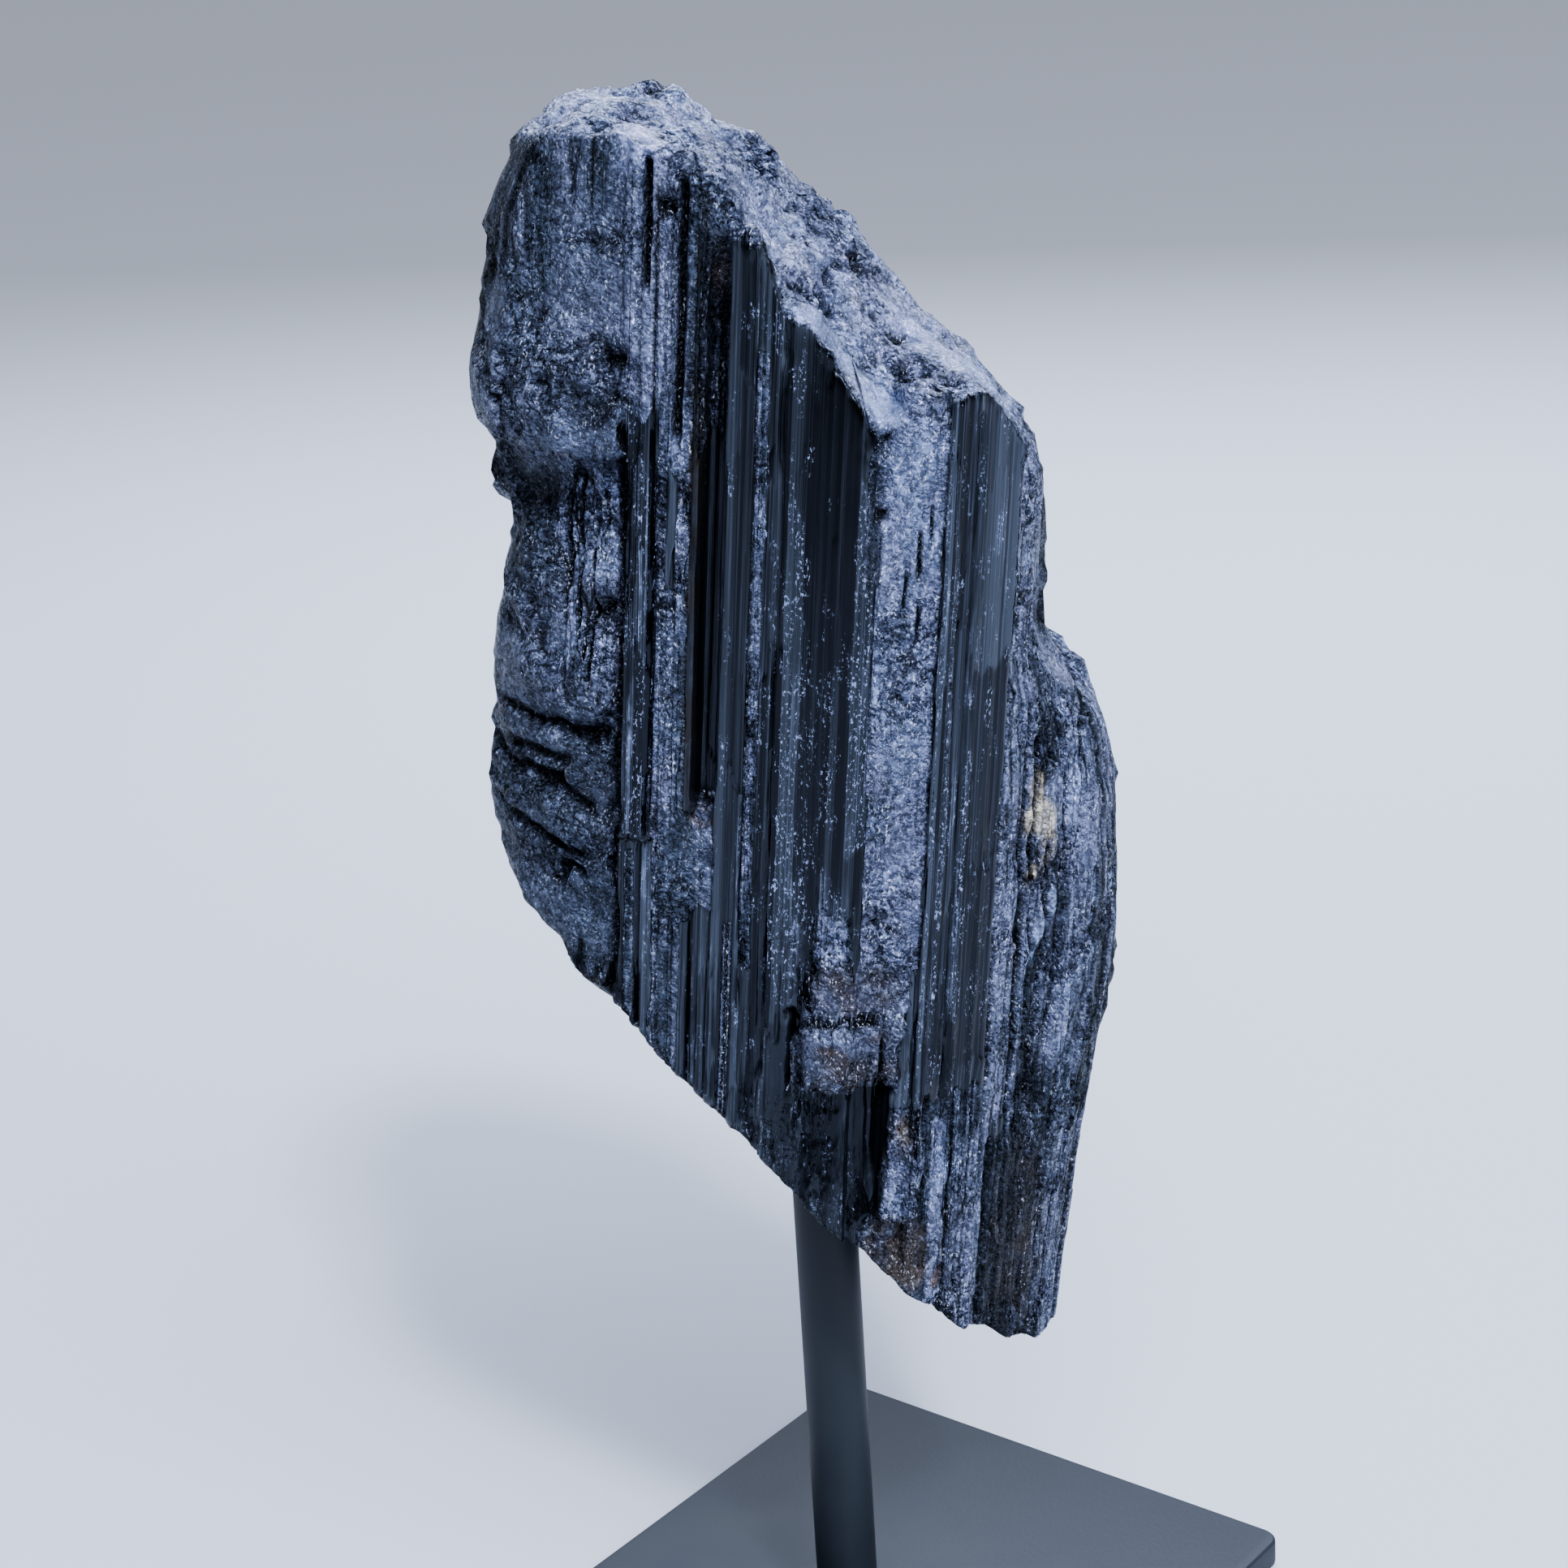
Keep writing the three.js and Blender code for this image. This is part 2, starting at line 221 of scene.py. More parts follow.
# How each zone of the front looks. rough is 0 on a glassy face and 1 on a sparkling break,
# pale is how light it is (below 0 it darkens the tone of the glass), frost is how chipped its
# glass is, rods and lumps are how tall its rods and its broken relief stand, and soft is how
# far its border fades, in mm. What a zone doesn't give is 0, and a later zone covers an
# earlier one.
zones = [
    dict(x=(-70, -28.2), z=(-120, 120), rough=0.85, pale=0.35, rods=0.1, lumps=0.8, soft=0.5),
    dict(x=(-50, -38.5), z=(80, 98), rough=0.62, pale=0.08, rods=0.5, lumps=0.4, soft=3),
    dict(x=(-38.5, -30), z=(90, 108), rough=0.66, pale=0.08, rods=0.6, lumps=0.4, soft=2),
    dict(x=(-60, -38), z=(30, 53), rough=0.7, pale=0.15, rods=0.05, lumps=0.4, soft=3),
    dict(x=(-38, -28.4), z=(20, 52), rough=0.85, pale=0.6, rods=1, lumps=0.7, soft=1.5),
    dict(x=(-60, -28.4), z=(-60, 14), rough=0.85, pale=0.16, rods=0.05, lumps=0.5, soft=4),
    dict(x=(-28.2, -16.8), z=(60, 120), rough=0.9, pale=0.45, rods=0.5, lumps=0.8, soft=2),
    dict(x=(-30, -22), z=(94, 120), rough=0.9, pale=1, lumps=0.4, soft=3),
    dict(x=(-28.2, -22.4), z=(-2, 58), rough=0.3, pale=0.35, frost=0.7, rods=1.2, soft=0.5),
    dict(x=(-22.4, -18.2), z=(-120, 64), rough=0.9, pale=0.55, rods=0.8, lumps=0.6, soft=0.4),
    dict(x=(-21.6, -20.2), z=(36, 54), rough=0.1, pale=0.6, rods=0.2, soft=0.5),
    dict(x=(-18.2, -13.4), z=(0, 86), rough=0.1, pale=0.15, rods=0.2, soft=0.3),
    dict(x=(-13.2, -9.4), z=(-60, 86), rough=0.15, pale=0.55, frost=0.2, rods=0.3, soft=0.3),
    dict(x=(-18, -13.4), z=(58, 92), rough=0.6, pale=0.12, frost=0.6, rods=0.7, lumps=0.5, soft=1),
    dict(x=(-17, -8), z=(87, 120), rough=0.9, pale=0.35, rods=0.2, lumps=0.6, soft=1.5),
    dict(x=(-8.9, -7.4), z=(-40, 72), rough=0.6, pale=0.4, frost=1, rods=0.6, lumps=0.3, soft=0.5),
    dict(x=(-5.4, 8.6), z=(-10, 80), rough=0.15, pale=-0.3, frost=0.4, rods=0.25, soft=0.3),
    dict(x=(-4, -1.4), z=(-20, 50), rough=0.25, pale=0.1, frost=1, rods=0.4, soft=0.8),
    dict(x=(0, 8.6), z=(34, 80), rough=0.1, pale=-0.4, rods=0.3, soft=1),
    dict(x=(6, 8.8), z=(-4, 56), rough=0.2, pale=0.3, frost=1.2, rods=0.3, soft=0.5),
    dict(x=(-60, 12), z=(-120, -24), rough=0.3, pale=0.25, frost=0.3, rods=1.1, lumps=0.2, soft=4),
    dict(x=(-22.4, -18.2), z=(-120, 0), rough=0.8, pale=0.2, rods=0.8, lumps=0.6, soft=0.4),
    dict(x=(-21.6, -13.2), z=(-13, -0.5), rough=0.9, pale=0.15, rods=0.2, lumps=0.8, soft=1),
    dict(x=(-26.8, -25.2), z=(-46, -6), rough=0.7, pale=0.4, rods=0.8, lumps=0.3, soft=0.5),
    dict(x=(-11.6, -10.2), z=(-54, -14), rough=0.7, pale=0.4, rods=0.8, lumps=0.3, soft=0.5),
    dict(x=(-6, 8.4), z=(-27, -8), rough=0.3, frost=0.9, rods=0.8, lumps=0.2, soft=2),
    dict(x=(2, 8), z=(-24, -12), rough=0.6, pale=0.8, frost=1.2, rods=0.5, lumps=0.3, soft=3),
    dict(x=(9, 18.3), z=(-22, 120), rough=1, pale=0.8, rods=0.2, lumps=0.5, soft=0.3),
    dict(x=(7, 9.7), z=(38, 62), rough=0.75, pale=0.3, frost=1, rods=0.3, lumps=1, soft=0.5),
    dict(x=(2, 17), z=(-30, -20), rough=0.95, pale=0.4, rods=0.1, lumps=0.8, soft=1.5),
    dict(x=(18.3, 30.4), z=(-46, 70), rough=0.15, pale=0.55, frost=0.3, rods=0.7, soft=0.3),
    dict(x=(18.3, 30.4), z=(-46, -12), rough=0.25, pale=0.2, frost=0.45, rods=0.9, lumps=0.2, soft=2),
    dict(x=(24, 30.4), z=(14, 70), rough=0.15, pale=1, frost=0.4, rods=0.4, soft=0.3),
    dict(x=(24.5, 29.8), z=(-40, 26), rough=0.2, pale=-0.5, frost=0.45, rods=0.5, soft=0.5),
    dict(x=(23.8, 24.6), z=(-30, 14), rough=0.3, pale=1, frost=1, rods=0.3, soft=0.2),
    dict(x=(18.8, 19.4), z=(-40, 62), rough=0.4, pale=1, frost=1, rods=0.2, soft=0.2),
    dict(x=(20.4, 21.3), z=(-45, 44), rough=0.4, pale=1, frost=1, rods=0.3, soft=0.2),
    dict(x=(30.6, 34.6), z=(-52, 24), rough=0.85, pale=0.9, rods=0.5, lumps=0.3, soft=0.5),
    dict(x=(30, 70), z=(22, 80), rough=0.8, pale=0.7, rods=0.6, lumps=0.6, soft=1),
    dict(x=(34.6, 70), z=(-120, 22), rough=0.7, pale=0.25, rods=0.9, lumps=0.5, soft=0.8),
    dict(x=(36.5, 40), z=(-24, -12), rough=0.8, pale=1, rods=0.5, lumps=0.4, soft=1.5),
    dict(x=(36.6, 41), z=(-10.5, 3), rough=1, pale=0.8, rods=0.3, lumps=0.5, soft=1),
    dict(x=(39, 45), z=(-46, -30), rough=0.8, pale=0.8, rods=0.5, lumps=0.5, soft=2.5),
    dict(x=(41, 50), z=(-14, 14), rough=0.75, pale=0.7, rods=0.7, lumps=0.4, soft=3),
    dict(x=(35, 42), z=(-110, -46), rough=0.6, pale=0.15, frost=0.4, rods=0.8, lumps=0.4, soft=3),
    dict(x=(-0.2, 16.3), z=(-42, -29.6), rough=0.9, pale=0.45, rods=0.1, lumps=1, soft=0.6),
    dict(x=(0, 14.8), z=(-72, -42), rough=0.25, pale=0.1, frost=0.3, rods=0.4, soft=0.6),
    dict(x=(-8, 7), z=(-74, -42), rough=0.44, pale=0.1, frost=0.6, rods=0.5, lumps=0.4, soft=3),
    dict(x=(15, 30), z=(-120, -45), rough=0.6, pale=0.35, rods=1, lumps=0.5, soft=1.5),
    dict(x=(14.6, 19), z=(-64, -50), rough=0.9, pale=0.75, rods=0.2, lumps=0.6, soft=1.2),
    dict(x=(22.4, 24.6), z=(-90, -50), rough=0.9, pale=1, rods=0.4, lumps=0.3, soft=0.5),
    dict(x=(11, 22), z=(-120, -65), rough=0.7, pale=0.2, rods=0.2, lumps=0.5, soft=2),
    dict(x=(28, 32), z=(-120, -50), rough=0.85, pale=0.85, rods=0.5, lumps=0.3, soft=0.6),
    dict(x=(32.2, 44), z=(-120, -56), rough=0.62, pale=0.05, frost=0.4, rods=0.7, lumps=0.3, soft=1.5),
    dict(x=(44, 70), z=(-120, -60), rough=0.6, pale=0.9, frost=0.4, rods=0.8, soft=1.5),
]

# Where no zone lies, and on the broken top.
plainFace = {"rough": 0.2, "pale": 0.3, "frost": 0.4, "rods": 0.8, "lumps": 0}
brokenTop = {"rough": 1, "pale": 0.95, "frost": 0, "rods": 0, "lumps": 0.9}

# Iron stain, clay, the pale crust with a painted glint on it, and light streaks on the shoulder:
# middle, half width and half height in mm.
stainsAndGlint = namedRows("x z wide tall colour strength", [
    (-17.4, 44, 1.6, 50, "2c2824", 1.4),
    (-15, 82, 1.6, 5, "7a5f50", 0.6),
    (-15.3, 0.2, 2, 1.4, "5f421f", 1.4),
    (9, -25, 8, 5, "51443d", 0.8),
    (8, -38, 9, 5, "51443a", 0.9),
    (5.6, -34.4, 3.4, 1.5, "5d4a38", 1.2),
    (13, -31.8, 2.2, 1.2, "5d4a38", 1.3),
    (8.6, -40.4, 4.6, 1.3, "5a4838", 1.2),
    (17.5, -71, 6, 8, "5f564f", 1.5),
    (17.4, -50.5, 1.6, 4, "7d6a48", 1),
    (24, -76, 1, 2, "7d5523", 1.1),
    (36.8, 1.8, 1.4, 4, "c9bd97", 1.1),
    (37.6, -3, 3.2, 3.2, "d8cfb4", 1.2),
    (39.3, -7.6, 1.5, 4.2, "d2c8ac", 1.2),
    (38, -82, 6, 26, "3a332d", 1.1),
    (36.9, -12.4, 1.9, 2, "2b221c", 1.5),
    # a painted glint: a near-white spot that stands in for a highlight
    (36.6, -11.9, 0.9, 1, "f0e4c8", 5),
    (40.4, -18, 1.2, 2.4, "a9bbdf", 1.2),
    (38.6, -21.4, 1.2, 2.6, "a9bbdf", 1.2),
    (36.9, -25, 1.2, 2.4, "a9bbdf", 1.2),
    (35.5, 36, 1, 3, "8a7350", 0.8),
    (-37, 54, 3, 1, "5a4030", 0.7),
])

# Narrow slits and cracks along the crystal, painted black inside as shade: width, z range and depth in mm.
slits = namedRows("x width z depth", [
    (-25.5, 1.1, (80, 98), 3.2),
    (-20.4, 1.3, (58, 95), 2.8),
    (-36.8, 0.8, (30, 47), 1.4),
    (-34.6, 0.7, (26, 50), 1.2),
    (-32.4, 0.7, (20, 48), 1.4),
    (-28.4, 1.2, (-30, 60), 2),
    (-22.6, 0.9, (-3, 64), 1.6),
    (-9.0, 0.7, (-30, 84), 1.0),
    (-5.4, 0.8, (-40, 76), 1.2),
    (15.2, 0.8, (39, 47), 0.8),
    (13.4, 0.7, (34.5, 41), 0.6),
    (16.8, 0.6, (45, 50.5), 0.5),
    (15.5, 0.6, (30, 36), 0.6),
    (18.5, 0.45, (-30, 64), 0.7),
    (23.6, 0.9, (-44, 63), 1.6),
    (30.5, 0.8, (-60, 50), 1.1),
    (34.8, 0.9, (-54, 14), 1.4),
    (32.2, 0.8, (-88, -56), 1.1),
    (13.2, 0.9, (-41, -30), 1.4),
    (-0.6, 1.2, (-42, -30), 2.2),
    (20.9, 1.3, (-62, -44), 1.5),
    (36.8, 0.7, (-60, 12), 1.4),
    (39.6, 0.9, (-52, -8), 1.6),
    (42.2, 0.7, (-44, 4), 1.4),
    (44.8, 0.8, (-30, 12), 1.4),
    (19.4, 0.5, (-54, -45), 0.8),
])

# Folds, pits and hollows of the front, each a long soft dent: its middle, half length,
# half width and depth in mm, and its turn in degrees. A negative depth is a swelling.
dents = namedRows("x z long wide depth turn", [
    (-41, 12.6, 5.5, 0.8, 1.8, -5),
    (-33.4, 11.6, 4, 1, 2, 2),
    (-41, 6.8, 6, 1, 1.8, 0),
    (-43, 3.6, 5, 1, 1.8, -2),
    (-35.4, 1.2, 5, 1.1, 2, -36),
    (-41.8, -5.2, 5.5, 1.2, 2.2, -22),
    (-35.4, -7.2, 3.4, 0.8, 1.6, -12),
    (-37.4, -11.6, 2.2, 1, 2, 62),
    (-35, -10.4, 1.8, 0.8, 1.8, -55),
    (-37.4, 19, 6, 4, -1.8, -20),
    (-31.3, 31.8, 2.4, 1.7, 3, 60),
    (-29.4, -0.8, 2.6, 0.8, 1.6, 80),
    (-42, 46, 5, 3.6, 1.8, 20),
    (-44, 34, 6, 3, -1.2, 50),
    (-31.5, 62, 5, 3, 1.2, 30),
    (9, -31.2, 8, 1.1, -1.2, -3),
    (40, -45, 9, 2.4, 1.6, 84),
    (38.6, -21.5, 5.4, 1.1, -1.2, 61),
    (39.8, -13, 2.2, 1, 1.4, 70),
    (9.3, 59.5, 2.6, 1.5, 2.4, 78),
    (8.6, 54, 2.2, 1.2, 2, 100),
    (8.8, 49, 1.8, 1.2, 1.8, 70),
])

# Smooth pale ledges of the broken top, and deep pits of the top and the front, the last ones
# the crack over the block and the notch beside the big facet: their middles and half sizes in
# mm along all three directions of the stone, and the pits' depths.
ledges = [
    dict(place=(-1, -26.5, 75.5), size=(3.4, 3, 3.4)),
    dict(place=(3, -25, 71), size=(3.6, 4, 3.6)),
    dict(place=(6.6, -25, 67), size=(3.4, 4, 3.4)),
    dict(place=(10, -27, 63.5), size=(2.6, 3, 2.6)),
    dict(place=(16, -10.5, 73), size=(7, 7, 4)),
    dict(place=(22, -14.5, 68), size=(5, 6, 4)),
    dict(place=(-26.7, -21.5, 102), size=(4, 8, 4)),
]

pits = [
    dict(place=(-0.2, -16, 76), size=(1.8, 2.2, 3), depth=3),
    dict(place=(1.3, -12.3, 80.4), size=(1.5, 1.7, 1.4), depth=2.2),
    dict(place=(5.4, -4, 81), size=(1.3, 3, 1.6), depth=1.8),
    dict(place=(11.5, -10.6, 71.6), size=(2.6, 2, 1.1), depth=1.2),
    dict(place=(14.4, -17.6, 67.2), size=(2.4, 2, 1.2), depth=1.2),
    dict(place=(-22.6, -25.6, 91), size=(1.6, 3, 1.8), depth=1.8),
    dict(place=(2, -31, -29.8), size=(5.4, 3, 1.1), depth=2),
    dict(place=(9.6, -31, -29.3), size=(4.6, 3, 0.9), depth=1.4),
    dict(place=(7.9, -31.5, 61.6), size=(1.4, 3, 2.6), depth=1.6),
]

# Places painted dark on the front, as the deep shadow in them: the long groove, the recess under the
# block, the notch beside the big facet, the gap left of the block, the crack over it, and on the
# left the scoop under the lip and the hollow beside it.
hollows = namedRows("x z dark soft", [
    ((-18.4, -13.4), (0.4, 60), 0.3, 0.5),
    ((-18.4, -13.4), (60, 88), 0.4, 1),
    ((-0.5, 15.4), (-64, -42), 0.42, 3),
    ((7.2, 9.6), (39, 61), 0.5, 0.8),
    ((8, 15.2), (-58, -42), 0.7, 2),
    ((-4.6, -0.4), (-56, -31.5), 0.6, 0.8),
    ((0, 6), (-30.2, -28.9), 0.9, 0.6),
    ((-50, -38), (40, 52), 0.25, 6),
    ((-34, -29), (28, 36), 0.6, 3),
])

# Rods side by side along the crystal, in mm: how wide, how long before one steps to another
# height, how far they step, and how deep and wide the gaps between them are.
rodSets = [
    dict(width=2.7, length=60, step=1.2, gap=0.7, gapWidth=0.34, seed=1),
    dict(width=1.2, length=34, step=0.5, gap=0.35, gapWidth=0.28, seed=5),
]

# Broken lumps of three sizes, and those that the broken top has besides: how wide and long in
# mm, and how tall for their width.
lumpSets = [
    dict(across=8, along=9, tall=0.34, seed=11),
    dict(across=3.6, along=3, tall=0.2, seed=12),
    dict(across=1.8, along=1.4, tall=0.12, seed=13),
]
topLumps = dict(across=5, along=5, tall=0.3, seed=21)

# Small unevenness and pocks of the breaks: how many sizes, how wide and long in mm, a seed.
crumbs = {"grain": (3, 5, 3, 15), "pocks": (2, 2.6, 2.2, 17)}

# Waves of the borders, the relief and its patches: how strong they are (in mm where they move
# something, and 1 where their strength is given elsewhere), how wide and how long in mm, and
# a seed.
waves = {
    "zoneSides": (0.25, 6, 40, 1),
    "zoneRaggedness": (0.12, 1.5, 5, 19),
    "zoneEnds": (5, 2.5, 12, 2),
    "rodSides": (0.3, 6, 50, 5),
    "rodSteps": (6, 1.5, 200, 6),
    "slits": (0.3, 30, 14, 14),
    "dentSides": (1.2, 6, 6, 18),
    "dentEnds": (1.2, 5, 5, 20),
    "topHills": (0.8, 9, 9, 16),
    "flutes": (1, 1.4, 70, 9),
    "foldBends": (1, 9, 9, 22),
    "folds": (1, 15, 4.6, 23),
    "rippleBends": (1, 5, 5, 24),
    "ripples": (1, 7, 1.3, 25),
    "backPatches": (1, 8, 80, 4),
    "crumpledPatches": (1, 12, 10, 31),
}

relief = {
    "toneOfRods": 0.7,  # how much lighter or darker one rod is than the next
    "flutes": 0.12,  # mm, fine ridges along the rods
    "grain": 0.16,  # mm, small unevenness of the breaks
    "crumpled": 2.8,  # how much taller a crumpled patch of a break stands
    "smooth": 1.2,  # what is taken off that, so that other patches lie nearly flat
    "pocks": 0.9,  # mm deep
    "folds": 1.1,  # mm, on the flowing, shell-like break at the lower left
    "ripples": 0.5,
    "foldArea": {"x": (-70, -28.8), "z": (-60, 13)},
    "foldSlope": 18,  # degrees that the folds fall to the right
    "creviceDepth": 0.5,  # mm below its surroundings at which a spot is in full shadow
}

# How dark the painted shade in each kind of hollow is, from 0 to 1.
shadows = {"pocks": 0.6, "folds": 0.4, "pits": 0.9, "dents": 0.75}

# The back: the values of its patches' wave between which its faces turn into breaks, the same
# in mm towards either edge, how rough its faces are and how much rougher its breaks, and how
# tall the breaks' lumps stand.
back = {
    "patch": (-0.12, 0.12),
    "leftEdge": (-30, -36),
    "rightEdge": (24, 29),
    "rough": (0.2, 0.6),
    "lumps": 0.7,
}

# Where the steps of the broken top run down over the upper front: they begin between these
# places, in mm.
topSteps = {"y": (-23.5, -21.5), "z": (58, 64), "x": (-13.6, -12.6)}

stoneToFrame = (
    Matrix.Rotation(math.radians(stone["turn"]), 4, "Z")
    @ Matrix.Translation((0, 0, stone["centreHeight"] * mm))
    @ Matrix.Rotation(math.radians(stone["lean"]), 4, "Y")
    @ Matrix.Scale(mm, 4)
)

# The values at each vertex that the stone's material reads.
paintedLayers = ("rough", "pale", "frost", "crevice", "striped", "crumpled")


def readVectors(collection, attribute):
    flat = np.zeros(len(collection) * 3, np.float32)
    collection.foreach_get(attribute, flat)
    return flat.reshape(-1, 3).astype(float)


def toStone(rows):
    # points of the frame (metres) in the stone's own frame (mm)
    there = np.array(stoneToFrame.inverted())
    return rows @ there[:3, :3].T + there[:3, 3]


def toFrame(rows):
    there = np.array(stoneToFrame)
    return rows @ there[:3, :3].T + there[:3, 3]


def turnedToStone(normals):
    return normals @ np.array(stoneToFrame.to_3x3().normalized())


def smoothStep(low, high, value):
    share = np.clip((value - low) / (high - low), 0, 1)
    return share * share * (3 - 2 * share)


def inRange(value, low, high, fade):
    # 1 between low and high and 0 outside, with a border `fade` mm wide
    half = fade / 2
    return smoothStep(low - half, low + half, value) * smoothStep(-high - half, -high + half, -value)


def inCells(points, across, along, seed):
    # the points counted in cells `across` mm wide and `along` mm long on the long axis
    return (points / np.array([across, across, along]) + seed * 17.3).tolist()


def noiseAt(points, *cells):
    # noise from -1 to 1
    return np.array([noise.noise(place) for place in inCells(points, *cells)])


def fractalAt(points, octaves, *cells):
    return np.array([noise.fractal(place, 0.7, 2.1, octaves) for place in inCells(points, *cells)])


def waveAt(points, name):
    amount, *cells = waves[name]
    return amount * noiseAt(points, *cells)


def facetAt(points, *cells):
    # flat facets that each tilt their own way and meet in creases, as a height in cells
    heights = []
    for place in inCells(points, *cells):
        distances, centres = noise.voronoi(place)
        tilt = noise.cell_vector(centres[0] * 1000) * 2 - Vector((1, 1, 1))
        crease = min(1, 4 * (distances[1] - distances[0]))
        heights.append((Vector(place) - centres[0]).dot(tilt) * crease)
    return np.array(heights)


def randomFor(index, seed):
    # a repeatable random number from 0 to 1 for each whole number
    wave = np.sin(index * 12.9898 + seed * 78.233) * 43758.5453
    return wave - np.floor(wave)


def rodsAt(across, z, rods):
    # at each point the rod's height, how near a gap it is from 0 to 1, and how light the rod is
    seed = rods["seed"]

    def border(index):
        # the left side of a rod, moved so that rods differ in width
        return index + 0.7 * (randomFor(index, seed) - 0.5)

    place = across / rods["width"]
    index = np.floor(place)
    index -= place < border(index)
    index += place >= border(index + 1)
    fromLeft = place - border(index)
    fromRight = border(index + 1) - place
    edge = np.where(fromLeft < fromRight, index, index + 1)
    distance = np.minimum(fromLeft, fromRight) * rods["width"]
    segment = np.floor(z / rods["length"] + 9 * randomFor(index, seed + 1))
    height = randomFor(index + 31 * segment, seed + 2) - 0.5
    tone = randomFor(index + 31 * segment, seed + 4) - 0.5
    gap = np.exp(-(distance / rods["gapWidth"]) ** 2) * smoothStep(0.45, 0.95, randomFor(edge, seed + 3))
    return height, gap, tone


def editAll(item, operator, **settings):
    # runs an edit mode operator on the whole of item
    makeActive(item)
    bpy.ops.object.mode_set(mode="EDIT")
    bpy.ops.mesh.select_all(action="SELECT")
    operator(**settings)
    bpy.ops.object.mode_set(mode="OBJECT")


def copyNode(node, name):
    # a copy of a CAD node with its loose triangles merged
    item = addObject(name, frame["nodes"][node].data.copy())
    item.data.materials.clear()
    editAll(item, bpy.ops.mesh.remove_doubles, threshold=0.01 * mm)
    return item


def regionOf(centre, normal):
    # 1 on the front's upright faces, 2 on the broken top and ledges, 3 on the rest
    if normal[2] > stone["topNormal"]:
        return 2
    shoulderX, shoulderY = stone["shoulder"]
    ahead = centre[1] < stone["frontY"] or (centre[0] > shoulderX and centre[1] < shoulderY)
    if ahead and abs(normal[2]) < stone["uprightNormal"]:
        return 1
    return 3


def markRegions(item):
    polygons = item.data.polygons
    centres = toStone(readVectors(polygons, "center"))
    normals = turnedToStone(readVectors(polygons, "normal"))
    layer = item.data.attributes.new("region", "INT", "FACE")
    values = [regionOf(c, n) for c, n in zip(centres, normals)]
    layer.data.foreach_set("value", values)


def divideRegion(item, region, cuts):
    makeActive(item)
    bpy.ops.object.mode_set(mode="EDIT")
    bpy.ops.mesh.select_mode(type="FACE")
    mesh = bmesh.from_edit_mesh(item.data)
    layer = mesh.faces.layers.int["region"]
    for face in mesh.faces:
        face.select_set(face[layer] == region and len(face.verts) == 3)
    bmesh.update_edit_mesh(item.data)
    bpy.ops.mesh.subdivide(number_cuts=cuts)
    bpy.ops.object.mode_set(mode="OBJECT")


def regionShare(item, region):
    # how much of each vertex's surroundings lies in a region
    mesh = item.data
    values = np.zeros(len(mesh.polygons), np.int32)
    mesh.attributes["region"].data.foreach_get("value", values)
    corners = np.zeros(len(mesh.loops), np.int32)
    mesh.loops.foreach_get("vertex_index", corners)
    inside = np.repeat(values == region, 3).astype(float)
    total = np.bincount(corners, minlength=len(mesh.vertices))
    return np.bincount(corners, inside, len(mesh.vertices)) / np.maximum(total, 1)


def spread(item, values, amount, rounds):
    # evens out values (rows, one for each vertex) over the mesh by amount, 0 to 1 at each
    edges = np.zeros(len(item.data.edges) * 2, np.int32)
    item.data.edges.foreach_get("vertices", edges)
    first, second = edges.reshape(-1, 2).T
    count = len(values)
    degree = np.bincount(first, minlength=count) + np.bincount(second, minlength=count)
    values = values.copy()
    for _ in range(rounds):
        for column in values.T:
            total = np.bincount(first, column[second], count) + np.bincount(second, column[first], count)
            column += (total / degree - column) * 0.6 * amount
    return values


def cover(painted, values, share):
    # lays values over the painted ones, by a share at each vertex
    for name, value in values.items():
        painted[name] += (value - painted[name]) * share


def paintZones(points, front, top):
    # the zones' values at each vertex
    x = points[:, 0] + waveAt(points, "zoneSides") + waveAt(points, "zoneRaggedness")
    z = points[:, 2] + waveAt(points, "zoneEnds")
    painted = {name: np.full(len(points), float(value)) for name, value in plainFace.items()}
    for zone in zones:
        share = inRange(x, *zone["x"], zone["soft"]) * inRange(z, *zone["z"], 2 * zone["soft"])
        cover(painted, {name: zone.get(name, 0) for name in plainFace}, share * front)
    # the back: faces and patches of broken surface, which cover both of its edges
    breaks = smoothStep(*back["patch"], waveAt(points, "backPatches"))
    breaks = np.maximum(breaks, smoothStep(*back["leftEdge"], points[:, 0]))
    breaks = np.maximum(breaks, smoothStep(*back["rightEdge"], points[:, 0]))
    onFaces, onBreaks = back["rough"]
    values = {"rough": onFaces + onBreaks * breaks, "lumps": back["lumps"] * breaks}
    cover(painted, values, (1 - front) * (1 - top))
    cover(painted, brokenTop, top)
    painted["striped"] = np.clip(painted["rods"] * 1.6, 0, 1) * (1 - top)
    painted["crumpled"] = 0.55 + 0.45 * smoothStep(-0.2, 0.3, waveAt(points, "crumpledPatches"))
    for ledge in ledges:
        share = ballShare(points, ledge)
        painted["crumpled"] *= 1 - 0.7 * share
        painted["lumps"] *= 1 - 0.8 * share
        painted["pale"] += (1.1 - painted["pale"]) * share * painted["rough"]
    return painted


def paintStainsAndGlint(points, front):
    # a colour and how strongly it covers, at each vertex
    tint = np.zeros((len(points), 4))
    for stain in stainsAndGlint:
        away = ((points[:, 0] - stain["x"]) / stain["wide"]) ** 2
        away += ((points[:, 2] - stain["z"]) / stain["tall"]) ** 2
        share = stain["strength"] * (1 - smoothStep(0.2, 1.3, away)) * front
        stronger = share > tint[:, 3]
        tint[stronger, :3] = linear(stain["colour"])[:3]
        tint[stronger, 3] = share[stronger]
    return tint


def ballShare(points, ball):
    away = np.linalg.norm((points - np.array(ball["place"])) / np.array(ball["size"]), axis=1)
    return 1 - smoothStep(0.7, 1.2, away)


